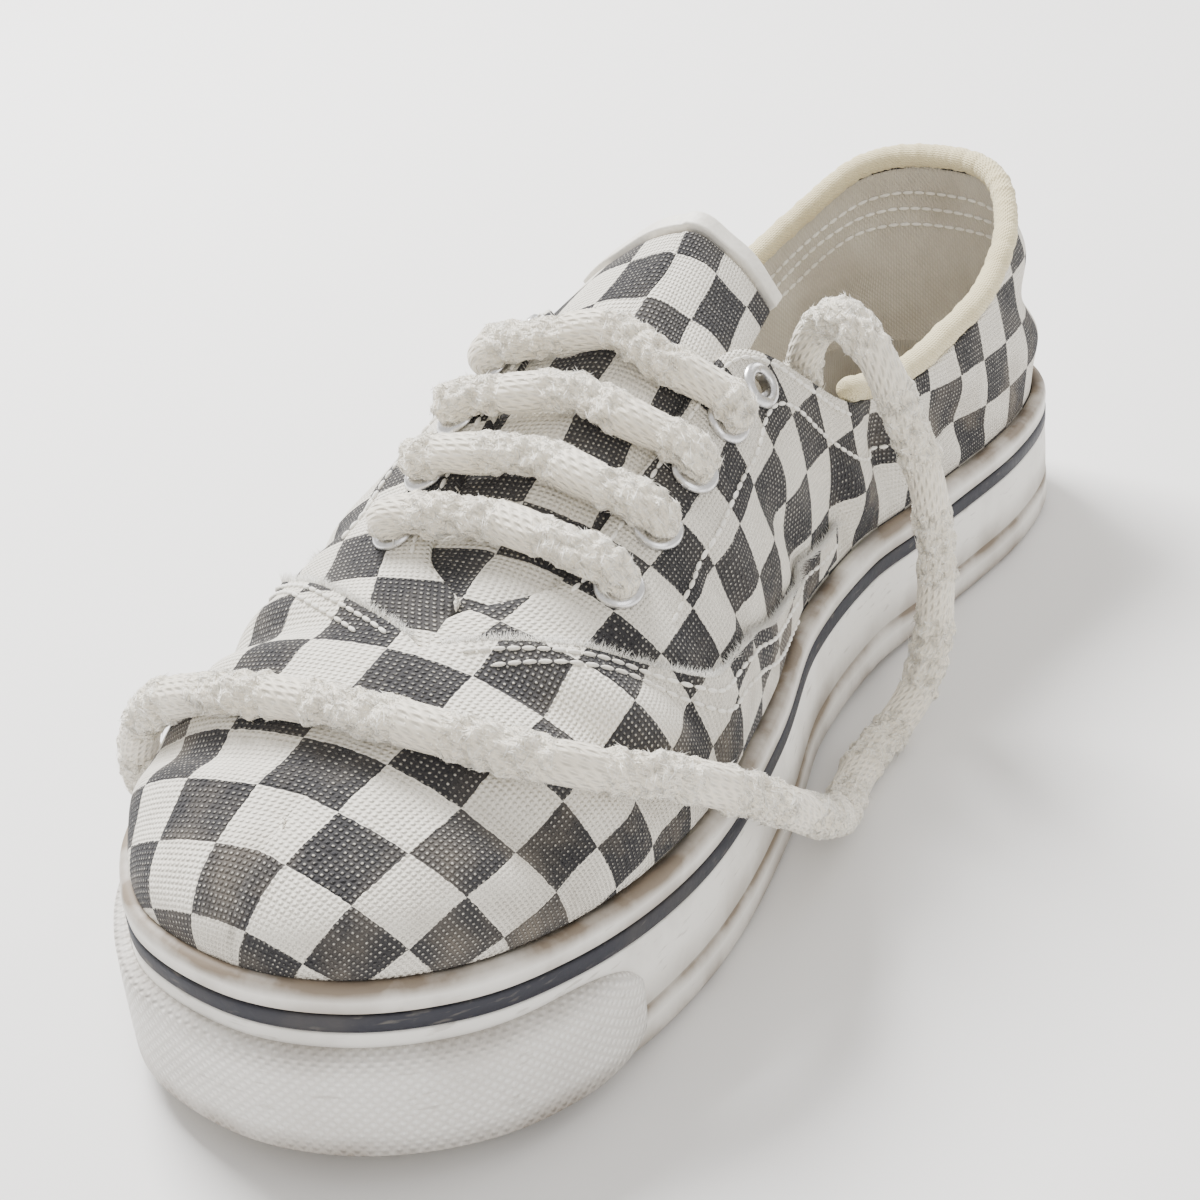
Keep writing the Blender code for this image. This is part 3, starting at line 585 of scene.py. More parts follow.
# Its second colour is lighter than its tone: light dust in the patches, and painted reflection in the
# streaks.
STRIPE_RUBBER = WornRubber((0.014, 0.015, 0.024), grime_and_sheen=(0.20, 0.18, 0.15), rough=0.62, patches=0.3)
GUARD_RUBBER = WornRubber((0.88, 0.86, 0.82), knurl=1.5 * MM, patches=0.2)
SOLE_RUBBER = WornRubber((0.62, 0.57, 0.46), patches=0.6)
INSOLE_CLOTH = PlainCloth((0.70, 0.66, 0.57), (0.33, 0.28, 0.21), grain=0.8 * MM, woven=False, dirtiness=0.8)
SEWING = PlainCloth((0.90, 0.88, 0.82), (0.45, 0.40, 0.32), grain=0.3 * MM, woven=False)
LINING = PlainCloth((0.62, 0.58, 0.50), (0.36, 0.31, 0.24), grain=0.7 * MM, dirtiness=0.6)
LEATHER = PlainCloth(
    (0.82, 0.79, 0.72), (0.45, 0.40, 0.33), grain=0.5 * MM, depth=0.1 * MM, rough=0.5, sheen=0.0, woven=False
)
COLLAR = PlainCloth(
    (0.82, 0.72, 0.44), (0.42, 0.33, 0.18), grain=0.55 * MM, depth=0.25 * MM, dirtiness=0.35
)
LACE_TONE = (0.90, 0.84, 0.71)
LACE_CORE = PlainCloth(
    LACE_TONE, (0.58, 0.50, 0.37), grain=1.3 * MM, depth=0.5 * MM, rough=0.55, sheen=0.4, dirtiness=0.35
)
LACE_FLUFF = PlainCloth(
    (0.93, 0.90, 0.82), LACE_TONE, grain=0.4 * MM, rough=0.8, sheen=0.4, woven=False, dirtiness=0.3
)
SLEEVE = PlainCloth(
    (0.74, 0.71, 0.62), (0.4, 0.36, 0.3), grain=0.6 * MM, depth=0.05 * MM, rough=0.3, sheen=0.0, woven=False
)


def grid_piece(name: str, points: Array, uv: Array, material: Material) -> Piece:
    """Smooth piece from a grid of points.

    Args:
        name: the piece's name.
        points: columns of points, one row each.
        uv: place of each point on the cloth.
        material: its finish.
    Returns:
        The piece, its coincident points welded.
    """
    count, high = points.shape[:2]
    mesh = bpy.data.meshes.new(name)
    column, level = np.meshgrid(np.arange(count - 1), np.arange(high - 1), indexing="ij")
    corner = column * high + level
    faces = np.stack([corner, corner + 1, corner + high + 1, corner + high], -1).reshape(-1, 4)
    mesh.from_pydata(points.reshape(-1, 3).tolist(), [], faces.tolist())
    flat = uv.reshape(-1, 2)[faces.reshape(-1)]
    mesh.uv_layers.new(name="cloth").data.foreach_set("uv", flat.astype(np.float32).ravel())
    work = bmesh.new()
    work.from_mesh(mesh)
    bmesh.ops.remove_doubles(work, verts=work.verts, dist=WELD)
    work.to_mesh(mesh)
    work.free()
    mesh.materials.append(material)
    mesh.shade_smooth()
    return linked(name, mesh)


def settle(piece: Piece) -> None:
    """Turns what the modifiers make into the piece's own plain mesh."""
    graph = bpy.context.evaluated_depsgraph_get()
    mesh = bpy.data.meshes.new_from_object(piece.evaluated_get(graph))
    piece.modifiers.clear()
    piece.data = mesh
    mesh.shade_smooth()


def thicken(piece: Piece, wall: float, way: int, inside: Material | None = None) -> None:
    """Gives an open piece its wall.

    Args:
        piece: the open piece.
        wall: thickness.
        way: 1 outwards, -1 inwards.
        inside: finish of the other face.
    """
    shell = piece.modifiers.new("wall", "SOLIDIFY")
    shell.thickness = wall
    shell.offset = way
    if inside:
        piece.data.materials.append(inside)
        shell.material_offset = 1
    settle(piece)


def keep(piece: Piece, slot: str, *nodes: str) -> Piece:
    """Rides a finished piece on the shoe and hides the CAD nodes that it stands for.

    Args:
        piece: the piece.
        slot: the record's material slot, not used.
        nodes: CAD nodes that it replaces.
    Returns:
        The piece.
    """
    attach(piece, ROOT)
    if nodes:
        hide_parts(*nodes)
    LOG.info("%s: %d faces", piece.name, len(piece.data.polygons))
    return piece


def rope(name: str, path: Array, radius: Array, material: Material, sides: int = 20) -> Piece:
    """Round piece along a path, closed at both ends.

    Args:
        name: its name.
        path: points of its middle line.
        radius: one radius for each point.
        material: its finish.
        sides: points round it.
    Returns:
        The piece.
    """
    along = unit(np.gradient(path, axis=0))
    across = np.cross(along[0], (0.3, 0.9, 0.2))
    rings, laid = [], []
    turn = np.linspace(0, 2 * math.pi, sides + 1)
    run = run_along(path)
    ends = [(path[0], POINTED, along[0], run[0])]
    ends += list(zip(path, radius, along, run)) + [(path[-1], POINTED, along[-1], run[-1])]
    for point, size, way, length in ends:
        across = across - way * (across @ way)
        across /= np.linalg.norm(across)
        other = np.cross(way, across)
        rings.append(point + size * (np.cos(turn)[:, None] * across - np.sin(turn)[:, None] * other))
        laid.append(np.stack([turn * radius.max(), np.full(sides + 1, length)], -1))
    return grid_piece(name, np.array(rings), np.array(laid), material)


def tree_of(name: str, inputs: dict[str, str]) -> tuple[NodeTree, Callable]:
    """Starts a Geometry Nodes tree.

    Args:
        name: its name.
        inputs: name to socket type of its number inputs.
    Returns:
        The tree, and a function that adds a node and joins its inputs.
    """
    tree = bpy.data.node_groups.new(name, "GeometryNodeTree")
    tree.interface.new_socket("Geometry", in_out="INPUT", socket_type="NodeSocketGeometry")
    for word, kind in inputs.items():
        tree.interface.new_socket(word, in_out="INPUT", socket_type=kind)
    tree.interface.new_socket("Geometry", in_out="OUTPUT", socket_type="NodeSocketGeometry")

    def add(kind: str, sockets: dict, **settings: object) -> Node:
        """Adds a node with its settings and inputs."""
        return joined(tree, kind, sockets, settings)

    return tree, add


def run_tree(name: str, seat: Piece, tree: NodeTree, values: dict) -> Piece:
    """Runs a tree on a copy of a piece.

    Args:
        name: name of the new piece.
        seat: the piece that it grows on.
        tree: the tree.
        values: input name to value.
    Returns:
        The new piece, a plain mesh.
    """
    made = linked(name, seat.data.copy())
    made.data.materials.clear()
    modifier = made.modifiers.new("nodes", "NODES")
    modifier.node_group = tree
    for item in tree.interface.items_tree:
        if item.name in values:
            modifier[item.identifier] = values[item.name]
    settle(made)
    return made


def finish_tree(
    add: Callable, spots: Node, shape: Node, turn: Socket, scale: Socket, material: Material
) -> None:
    """Ends a tree: a shape at every spot, made real and given its finish.

    Args:
        add: adds a node to the tree.
        spots: node whose first output holds the points.
        shape: node whose first output is the shape.
        turn: rotation of each.
        scale: scale of each.
        material: the finish.
    """
    sockets = {"Points": spots.outputs[0], "Instance": shape.outputs[0], "Rotation": turn, "Scale": scale}
    grown = add("GeometryNodeInstanceOnPoints", sockets)
    real = add("GeometryNodeRealizeInstances", {0: grown.outputs[0]})
    dressed = add("GeometryNodeSetMaterial", {0: real.outputs[0], "Material": material})
    add("NodeGroupOutput", {0: dressed.outputs[0]})


def fibre_tree(material: Material) -> NodeTree:
    """Tree that grows short loose fibres on a piece, thicker where its fuzz attribute is high."""
    numbers = dict.fromkeys(("Density", "Length", "Radius", "Spread"), "NodeSocketFloat")
    tree, add = tree_of("fibres", {**numbers, "Seed": "NodeSocketInt"})
    given = add("NodeGroupInput", {}).outputs
    fuzz = add("GeometryNodeInputNamedAttribute", {"Name": "fuzz"}, data_type="FLOAT").outputs[0]
    density = add("ShaderNodeMath", {0: fuzz, 1: given["Density"]}, operation="MULTIPLY").outputs[0]
    seat = {"Mesh": given["Geometry"], "Density": density, "Seed": given["Seed"]}
    spots = add("GeometryNodeDistributePointsOnFaces", seat)
    shape = {"Vertices": 3, "Radius Bottom": given["Radius"], "Depth": 1.0, "Radius Top": 0.0}
    strand = add("GeometryNodeMeshCone", shape, fill_type="NONE")
    low = add("ShaderNodeMath", {0: given["Spread"], 1: -1.0}, operation="MULTIPLY").outputs[0]
    spread = {0: low, 1: given["Spread"], "Seed": given["Seed"]}
    tilt = add("FunctionNodeRandomValue", spread, data_type="FLOAT_VECTOR").outputs[0]
    turn = add("FunctionNodeEulerToRotation", {0: tilt}).outputs[0]
    stand = {0: spots.outputs["Rotation"], 1: turn}
    lean = add("FunctionNodeRotateRotation", stand, rotation_space="LOCAL").outputs[0]
    lengths = {2: SHORTEST, 3: LONGEST, "Seed": given["Seed"]}
    size = add("FunctionNodeRandomValue", lengths, data_type="FLOAT").outputs[1]
    long = add("ShaderNodeMath", {0: size, 1: given["Length"]}, operation="MULTIPLY").outputs[0]
    scale = add("ShaderNodeCombineXYZ", {0: 1.0, 1: 1.0, 2: long}).outputs[0]
    finish_tree(add, spots, strand, lean, scale, material)
    return tree


def stitch_tree(material: Material) -> NodeTree:
    """Tree that lays short thread stitches along the edges of a line."""
    tree, add = tree_of("stitches", {"Pitch": "NodeSocketFloat", "Thread": "NodeSocketFloat"})
    given = add("NodeGroupInput", {}).outputs
    line = add("GeometryNodeMeshToCurve", {0: given["Geometry"]})
    steps = {"Curve": line.outputs[0], "Length": given["Pitch"]}
    even = add("GeometryNodeResampleCurve", steps, mode="LENGTH")
    along = add("GeometryNodeInputTangent", {}).outputs[0]
    turn = add("FunctionNodeAlignRotationToVector", {"Vector": along}, axis="Z").outputs[0]
    long = add("ShaderNodeMath", {0: given["Pitch"], 1: STITCH_SHARE}, operation="MULTIPLY").outputs[0]
    scale = add("ShaderNodeCombineXYZ", {0: given["Thread"], 1: given["Thread"], 2: long}).outputs[0]
    stitch = add("GeometryNodeMeshUVSphere", {"Segments": 8, "Rings": 6, "Radius": 1.0})
    finish_tree(add, even, stitch, turn, scale, material)
    return tree


def stitch_piece(name: str, lines: Sequence[Array], slot: str, tree: NodeTree, pitch: float) -> None:
    """Lays stitches along several lines.

    Args:
        name: the piece's name.
        lines: points of each line.
        slot: the record's slot.
        tree: the stitch tree.
        pitch: length of one stitch with its gap.
    """
    points, edges = [], []
    for line in lines:
        start = len(points)
        points += line.tolist()
        edges += [(start + spot, start + spot + 1) for spot in range(len(line) - 1)]
    mesh = bpy.data.meshes.new(name)
    mesh.from_pydata(points, edges, [])
    seat = linked(name + "_line", mesh)
    made = run_tree(name, seat, tree, {"Pitch": pitch, "Thread": THREAD})
    bpy.data.objects.remove(seat)
    keep(made, slot)


def mark(piece: Piece, name: str, values: Array) -> None:
    """Writes one number for each point of a piece as an attribute."""
    piece.data.attributes.new(name, "FLOAT", "POINT").data.foreach_set("value", values.astype(np.float32))


def grime_at(lines: Sequence[tuple]) -> Array:
    """Grime gathered along lines.

    Args:
        lines: strength, distance from the line and width of each.
    Returns:
        The grime, 0 to 1.
    """
    return np.clip(sum(strong * np.exp(-((off / width) ** 2)) for strong, off, width in lines), 0, 1)


def points_of(piece: Piece) -> Array:
    """Points of a piece as an array."""
    found = np.empty(len(piece.data.vertices) * 3, np.float32)
    piece.data.vertices.foreach_get("co", found)
    return found.reshape(-1, 3).astype(float)


def move_points(piece: Piece, places: Array) -> None:
    """Moves the points of a piece, none of them below the floor."""
    places[:, 2] = np.maximum(places[:, 2], OFF_FLOOR)
    piece.data.vertices.foreach_set("co", places.astype(np.float32).ravel())
    piece.data.update()


@dataclass
class Sole:
    """Foxing band with its stripe, knurled toe guard, sole plate and insole."""

    flare: float = 0.8 * MM
    round: float = 1.2 * MM
    seam: float = 7 * MM
    seam_step: float = 0.5 * MM
    stripe: float = 3.8 * MM
    stripe_depth: float = 1.0 * MM
    stripe_drop: float = 5 * MM
    soft: float = 0.3 * MM
    guard_height: float = 21 * MM
    guard_start: float = 9.33
    guard_taper: float = 0.8
    rows: int = 521

    def sweep(self, name: str, places: Array, profile: Sequence[tuple], material: Material) -> Piece:
        """Sweeps a closed profile round the outline.

        Args:
            name: the piece's name.
            places: places round the outline.
            profile: inset and height of each profile point, as arrays over the places.
            material: its finish.
        Returns:
            The piece.
        """
        columns, laid = [], []
        run = run_along(FORM.outline(places, 0.0)[0])
        total = np.zeros(len(places))
        before = None
        for inset, height in [*profile, profile[0]]:
            inset = np.broadcast_to(inset, places.shape)
            here, _ = FORM.outline(places, inset)
            column = FORM.world(here[:, 0], here[:, 1], height)
            total = total + (0 if before is None else np.linalg.norm(column - before, axis=1))
            before = column
            columns.append(column)
            laid.append(np.stack([run, total], -1))
        return grid_piece(name, np.stack(columns, 1), np.stack(laid, 1), material)

    def band_profile(self, low: Array, top: Array, wobble: Array) -> list[tuple]:
        """Section of the band, from its foot round by its lip.

        Args:
            low: height of its foot over the places.
            top: height of its lip.
            wobble: how far its face strays.
        Returns:
            Inset and height of each point of the section.
        """
        seam, foot, flare, soft = low + self.seam, low + self.round, self.flare, self.soft
        out, groove = 0.25 * flare, flare + self.stripe_depth
        stripe_top = top - self.stripe_drop
        stripe_low = stripe_top - self.stripe
        return [
            (FORM.band, low), (0.7 * self.round, low), (soft, low + 0.35 * self.round), (0.0, foot),
            (0.1 * flare + wobble, foot + (seam - low) * 0.2),
            (0.1 * flare + wobble, foot + (seam - low) * 0.5),
            (out, seam - soft), (out + self.seam_step, seam), (out + self.seam_step, seam + 0.7 * MM),
            (out + 0.2 * MM, seam + 1.1 * MM), (0.6 * flare + wobble, (seam + stripe_low) / 2),
            (flare, stripe_low - soft), (flare + soft, stripe_low), (groove, stripe_low + 0.1 * MM),
            (groove, stripe_top - 0.1 * MM), (flare + soft, stripe_top), (flare, stripe_top + soft),
            (flare - 0.15 * MM + wobble, (stripe_top + top) / 2), (flare, top - self.round),
            (flare + 0.35 * self.round, top - 0.3 * self.round), (flare + self.round, top), (FORM.band, top),
        ]

    def build_foxing(self) -> None:
        """Makes the white band with grime at its lip, seam and foot, and its dark stripe."""
        places = np.linspace(0, 2 * FORM.tip, self.rows)
        station = FORM.outline(places, 0.0)[0][:, 1]
        low, top = FORM.lift(station) + 2 * CLEARANCE, FORM.foxing_top(station)
        wobble = 0.12 * MM * np.sin(places * 5.1) * np.sin(places * 2.3)
        profile = self.band_profile(low, top, wobble)
        piece = self.sweep("foxing_band", places, profile, WHITE_RUBBER.build("white rubber"))
        where = points_of(piece)
        station = FORM.half - where[:, 1]
        rise = where[:, 2] - FORM.lift(station)
        crest = FORM.foxing + FORM.foxing_rise * ease(0.70, 0.96, station / FORM.length)
        lines = (
            (1.1, rise - crest, 1.8 * MM), (1.1, rise - self.seam - CLEARANCE * 3, 0.9 * MM),
            (0.9, rise, 3.5 * MM), (0.7, crest - rise - self.stripe_drop, 0.7 * MM),
        )
        mark(piece, "grime_and_sheen", grime_at(lines))
        keep(piece, "white_rubber", "foxing")
        high = top - self.stripe_drop - CLEARANCE
        low = top - self.stripe_drop - self.stripe + CLEARANCE
        back, rim = self.flare + self.stripe_depth - CLEARANCE, self.flare + 0.1 * MM
        face, soft = self.flare - 0.15 * MM, self.soft
        section = [(back, low), (rim, low), (face, low + soft)]
        section += [(face, high - soft), (rim, high), (back, high)]
        stripe = self.sweep("stripe_band", places, section, STRIPE_RUBBER.build("dark rubber"))
        keep(stripe, "dark_rubber", "foxing_stripe")

    def build_guard(self) -> None:
        """Makes the knurled toe guard with rounded ends."""
        whole = 2 * FORM.tip
        places = np.linspace(self.guard_start, whole - self.guard_start, 260)
        row = np.minimum(places, whole - places)
        part = np.clip((row - self.guard_start) / self.guard_taper, 0, 1)
        size = 0.35 + 0.65 * np.sqrt(1 - (1 - part) ** 2)
        station = FORM.outline(places, 0.0)[0][:, 1]
        middle = FORM.lift(station) + 3 * CLEARANCE + self.guard_height / 2
        half, back = self.guard_height / 2 * size, -CLEARANCE
        face = back - FORM.bumper * size
        proud = face - 0.1 * MM
        ends = [(back, -1.0), (0.5 * (face + back), -0.99), (face, -0.93), (proud, -0.5), (proud, 0.0)]
        profile = [(inset, middle + half * share) for inset, share in ends]
        profile += [(inset, middle - half * share) for inset, share in ends[:4][::-1]]
        profile[-2:] = [(-0.4 * MM, middle + 0.99 * half), (0.6 * MM, middle + 0.98 * half)]
        piece = self.sweep("toe_guard", places, profile, GUARD_RUBBER.build("guard rubber"))
        work = bmesh.new()
        work.from_mesh(piece.data)
        bmesh.ops.holes_fill(work, edges=[edge for edge in work.edges if edge.is_boundary])
        bmesh.ops.recalc_face_normals(work, faces=work.faces)
        work.to_mesh(piece.data)
        work.free()
        rise = points_of(piece)[:, 2] - FORM.lift(FORM.half - points_of(piece)[:, 1])
        mark(piece, "grime_and_sheen", grime_at(((1.0, rise, 3.5 * MM), (0.5, rise - 21.5 * MM, 1.0 * MM))))
        keep(piece, "guard_rubber", "toe_bumper")

    def dress_plates(self) -> None:
        """Gives the sole plate and the insole, kept from the frame, their finishes."""
        for node, material in (
            ("outsole", SOLE_RUBBER.build("sole rubber")), ("insole", INSOLE_CLOTH.build("insole cloth"))
        ):
            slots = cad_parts[node].data.materials
            slots.clear()
            slots.append(material)

    def build(self) -> None:
        """Makes every rubber piece."""
        self.build_foxing()
        self.build_guard()
        self.dress_plates()


@dataclass
class Upper:
    """Worn canvas upper, toe panel, heel strip, tongue and collar, with their stitches and frayed edges."""

    overlay: float = 1.0 * MM
    panel_gap: float = 0.36 * MM
    panel_start: float = 16 / 3
    panel_edge: tuple = (0.10, 0.11, 0.14, 0.19, 0.28, 0.36, 0.72, 1.0, 1.0)
    panel_foot: float = 0.03
    strip_half: float = 0.72
    collar_end: float = 5.0
    tongue_top: float = 5.45
    tongue_front: float = 26 / 3
    tongue_tuck: float = 0.64
    tongue_gap: float = 2.4 * MM
    tongue_wall: float = 3.0 * MM
    collar_roll: float = 5.4 * MM
    eyelet_rows: tuple = (7.80, 7.33, 6.87, 6.42, 5.99)
    eyelet_margin: float = 8.5 * MM
    hole: float = 2.9 * MM

    def __post_init__(self) -> None:
        """Makes the finishes that its pieces share."""
        thread = SEWING.build("thread")
        self.stitches = stitch_tree(thread)
        self.fibres = fibre_tree(thread)
        self.canvas = CheckedCanvas().build("checked canvas")

    def panel_climb(self, place: Array) -> Array:
        """Climb of the toe panel's edge."""
        return np.minimum(curve(self.panel_edge, 2 * (np.abs(place) - self.panel_start)), 1.0)

    def eyelet(self, side: Side, number: int) -> tuple[Array, Array]:
        """Middle of an eyelet on the worn skin, and its outward direction.

        Args:
            side: inner or outer.
            number: counted from the toe.
        Returns:
            The point and the direction.
        """
        place = np.array(side.value * self.eyelet_rows[number])
        climb, gone = float(FORM.edge(place)), 0.0
        point = FORM.skin(place, np.array(climb))
        while gone < self.eyelet_margin:
            climb -= 0.005
            after = FORM.skin(place, np.array(climb))
            gone += float(np.linalg.norm(after - point))
            point = after
        return FORM.worn(place, np.array(climb)), FORM.normal(place, np.array(climb))

    def unrolled(self, place: Array, climb: Array) -> Array:
        """Place on a cloth unrolled from the ridge, as the toe panel is cut."""
        ridge = FORM.skin(place, np.ones_like(climb))[..., :2]
        foot = FORM.skin(place, np.full_like(climb, 0.001))[..., :2]
        down = (1 - climb) * np.interp(place, FORM.places, FORM.section)
        return ridge + unit(foot - ridge) * down[..., None]

    def build_shell(self) -> None:
        """Makes the hollow upper with its eyelet holes."""
        rows = np.linspace(-FORM.tip, FORM.tip, 313)
        levels = np.concatenate([[-1, -0.5, 0, 0.015, 0.04], np.linspace(0.08, 1, 30)])
        place = np.repeat(rows[:, None], len(levels), 1)
        climb = np.where(levels > 0, levels * FORM.edge(place), levels)
        piece = grid_piece("canvas_upper", FORM.worn(place, climb), FORM.layout(place, climb), self.canvas)
        thicken(piece, FORM.canvas, -1, LINING.build("lining"))
        work = bmesh.new()
        for side in Side:
            for number in range(len(self.eyelet_rows)):
                middle, way = self.eyelet(side, number)
                turn = Vector(way).to_track_quat("Z", "Y").to_matrix()
                size = {"radius1": self.hole, "radius2": self.hole, "depth": 9 * MM}
                found = bmesh.ops.create_cone(work, cap_ends=True, segments=24, **size)
                bmesh.ops.rotate(work, matrix=turn, verts=found["verts"])
                bmesh.ops.translate(work, vec=Vector(middle), verts=found["verts"])
        mesh = bpy.data.meshes.new("holes")
        work.to_mesh(mesh)
        work.free()
        cutter = linked("holes", mesh)
        cut = piece.modifiers.new("cut", "BOOLEAN")
        cut.object = cutter
        settle(piece)
        bpy.data.objects.remove(cutter)
        keep(piece, "canvas", "upper")

    def build_panels(self) -> None:
        """Makes the toe panel and the heel strip, standing proud, with a frayed edge."""
        rows = np.linspace(self.panel_start, FORM.tip, 130)
        rows = np.concatenate([rows, -rows[::-1]])
        levels = np.linspace(0, 1, 30)
        place = np.repeat(rows[:, None], 30, 1)
        climb = self.panel_foot + (self.panel_climb(place) - self.panel_foot) * levels
        lift = self.panel_gap + self.overlay
        canvas = CheckedCanvas().build("panel canvas")
        piece = grid_piece("toe_panel", FORM.worn(place, climb, lift), self.unrolled(place, climb), canvas)
        thicken(piece, self.overlay, -1)
        keep(piece, "panel_canvas", "toe_overlay")
        rows = np.linspace(-self.strip_half, self.strip_half, 30)
        place = np.repeat(rows[:, None], 24, 1)
        climb = self.panel_foot + (FORM.edge(place) - self.panel_foot) * np.linspace(0, 1, 24)
        flat = FORM.layout(place, climb) + 4 * MM
        piece = grid_piece("heel_band", FORM.worn(place, climb, lift), flat, self.canvas)
        thicken(piece, self.overlay, -1)
        keep(piece, "panel_canvas", "heel_strip")
        for side in Side:
            place = side.value * np.linspace(self.panel_start, 8.75, 220)
            climb = self.panel_climb(place)
            under = FORM.worn(place, climb, lift - 0.5 * self.overlay)
            rim = np.stack([FORM.worn(place, climb - 0.002, lift), under], 1)
            if side is Side.OUTER:
                rim = rim[::-1]
            strip = grid_piece("fray_seat", rim, rim[..., :2], self.canvas)
            mark(strip, "fuzz", np.ones(len(strip.data.vertices)))
            fray = run_tree(f"fray_{side.name.lower()}", strip, self.fibres, {
                "Density": 5.0e7, "Length": 2.0 * MM, "Radius": 0.08 * MM, "Spread": 0.9, "Seed": 3})
            bpy.data.objects.remove(strip)
            keep(fray, "panel_canvas")

    def build_stitches(self) -> None:
        """Sews the panels, facings, heel and lining."""
        lift = self.panel_gap + self.overlay + 0.15 * MM
        lines, inside = [], []
        for side in Side:
            place = side.value * np.linspace(self.panel_start + 0.1, 8.72, 160)
            for distance in (3 * MM, 7.5 * MM):
                climb = self.panel_climb(place) - distance / np.interp(place, FORM.places, FORM.section)
                lines.append(FORM.worn(place[climb > 0.035], climb[climb > 0.035], lift))
            place = side.value * np.linspace(5.05, 7.95, 120)
            lines.append(FORM.worn(place, FORM.below_edge(place, 2.5 * MM), 0.2 * MM))
            place = side.value * np.linspace(4.5, 7.7, 120)
            back = 11 * MM + 9 * MM * ease(5.6, 6.4, np.abs(place))
            lines.append(FORM.worn(place, FORM.below_edge(place, back), 0.2 * MM))
            place = np.full(60, side.value * 0.60)
            lines.append(FORM.worn(place, np.linspace(0.06, 0.34, 60), lift))
        for distance in (6 * MM, 10 * MM, 14 * MM):
            place = np.linspace(-3.2, 3.2, 150)
            inside.append(FORM.worn(place, FORM.below_edge(place, distance), -FORM.canvas - 0.25 * MM))
        stitch_piece("seam_stitches", lines, "canvas", self.stitches, 2.6 * MM)
        stitch_piece("lining_stitches", inside, "lining", self.stitches, 2.8 * MM)

    def build_tongue(self) -> None:
        """Makes the tongue and its stitched bound top."""
        step = 0.1
        crest = FORM.skin(np.array([self.tongue_top, self.tongue_top - step]), np.ones(2))
        size = np.linalg.norm(crest[0] - crest[1])
        band = 3.6 * MM * step / size
        off = -(FORM.canvas + self.tongue_gap)
        climbs = np.linspace(self.tongue_tuck, 1, 22)
        climbs = np.concatenate([climbs, climbs[-2::-1]])
        sign = np.concatenate([np.ones(22), -np.ones(21)])
        bound, leather = self.tongue_top - 0.02, LEATHER.build("bound leather")
        for name, start, end, count, slot, material, proud in (
            ("tongue_cloth", self.tongue_top, self.tongue_front, 50, "canvas", self.canvas, 0.0),
            ("tongue_bound_top", bound - band, bound, 8, "bound_edge", leather, 0.35 * MM),
        ):
            rows = np.linspace(start, end, count)
            place = rows[:, None] * sign[None]
            climb = np.repeat(climbs[None], count, 0)
            normal = FORM.normal(place, climb)
            points = FORM.skin(place, climb) + normal * (off + proud)
            for _ in range(14):
                points[:, 1:-1] = (points[:, :-2] + 2 * points[:, 1:-1] + points[:, 2:]) / 4
            points[..., 2] += 0.25 * MM * np.sin(place * 9) * np.sin(climb * 30)
            across = (1 - climb) * sign * np.interp(place, FORM.places, FORM.section)
            flat = np.stack([across, np.repeat((rows * size / step)[:, None], 43, 1)], -1)
            piece = grid_piece(name, points[::-1], flat[::-1], material)
            wall = self.tongue_wall + 2 * proud
            thicken(piece, wall, -1)
            soft = piece.modifiers.new("soft", "BEVEL")
            soft.width, soft.segments = 0.9 * MM, 3
            soft.limit_method, soft.angle_limit = "ANGLE", math.radians(60)
            settle(piece)
            keep(piece, slot, "tongue" if slot == "canvas" else "tongue_binding")
        place = np.full(60, self.tongue_top - 0.03) * np.concatenate([np.ones(30), -np.ones(30)])
        half = np.linspace(self.tongue_tuck + 0.02, 1, 30)
        climb = np.concatenate([half, half[::-1]])
        line = FORM.skin(place, climb) + FORM.normal(place, climb) * (off + 0.55 * MM)
        stitch_piece("tongue_stitches", [line], "bound_edge", self.stitches, 2.4 * MM)

    def build_collar(self) -> None:
        """Makes the padded collar roll with soft puckers."""
        rows = np.linspace(-self.collar_end, self.collar_end, 300)
        rim = FORM.worn(rows, FORM.edge(rows), -FORM.canvas / 2)
        below = FORM.worn(rows, FORM.edge(rows) - 0.03, -FORM.canvas / 2)
        path = rim + unit(rim - below) * (self.collar_roll / 2 + 1.2 * CLEARANCE)
        puckers = 0.05 * np.sin(rows * 22) * np.sin(rows * 3.1) + 0.03 * np.sin(rows * 47)
        radius = self.collar_roll / 2 * (1 + puckers)
        radius *= np.sqrt(np.clip((5.03 - np.abs(rows)) / 0.12, 0.05, 1))
        roll = rope("collar_roll", path, radius, COLLAR.build("collar cloth"), 24)
        keep(roll, "collar_cloth", "collar_binding")

    def build_eyelets(self) -> None:
        """Turns a metal ring for each eyelet of a side, as one piece a side."""
        metal = DullMetal().build("eyelet metal")
        turn = np.linspace(0, 2 * math.pi, 41)
        profile = np.array(RING + RING[:1]) * MM
        for side, word in ((Side.INNER, "medial"), (Side.OUTER, "lateral")):
            rings = []
            for number in range(len(self.eyelet_rows)):
                middle, way = self.eyelet(side, number)
                basis = np.array(Vector(way).to_track_quat("Z", "Y").to_matrix())
                ring = np.array([[(r * math.cos(t), -r * math.sin(t), h) for r, h in profile] for t in turn])
                rings.append(grid_piece("ring", ring @ basis.T + middle, ring[..., :2], metal))
            work = bmesh.new()
            for ring in rings:
                work.from_mesh(ring.data)
                bpy.data.objects.remove(ring)
            bmesh.ops.recalc_face_normals(work, faces=work.faces)
            mesh = bpy.data.meshes.new(f"eyelets_{word}")
            work.to_mesh(mesh)
            work.free()
            mesh.materials.append(metal)
            mesh.shade_smooth()
            piece = linked(f"eyelets_{word}", mesh)
            count = len(self.eyelet_rows)
            keep(piece, "eyelet_metal", *[f"eyelet_{word}_{number + 1}" for number in range(count)])

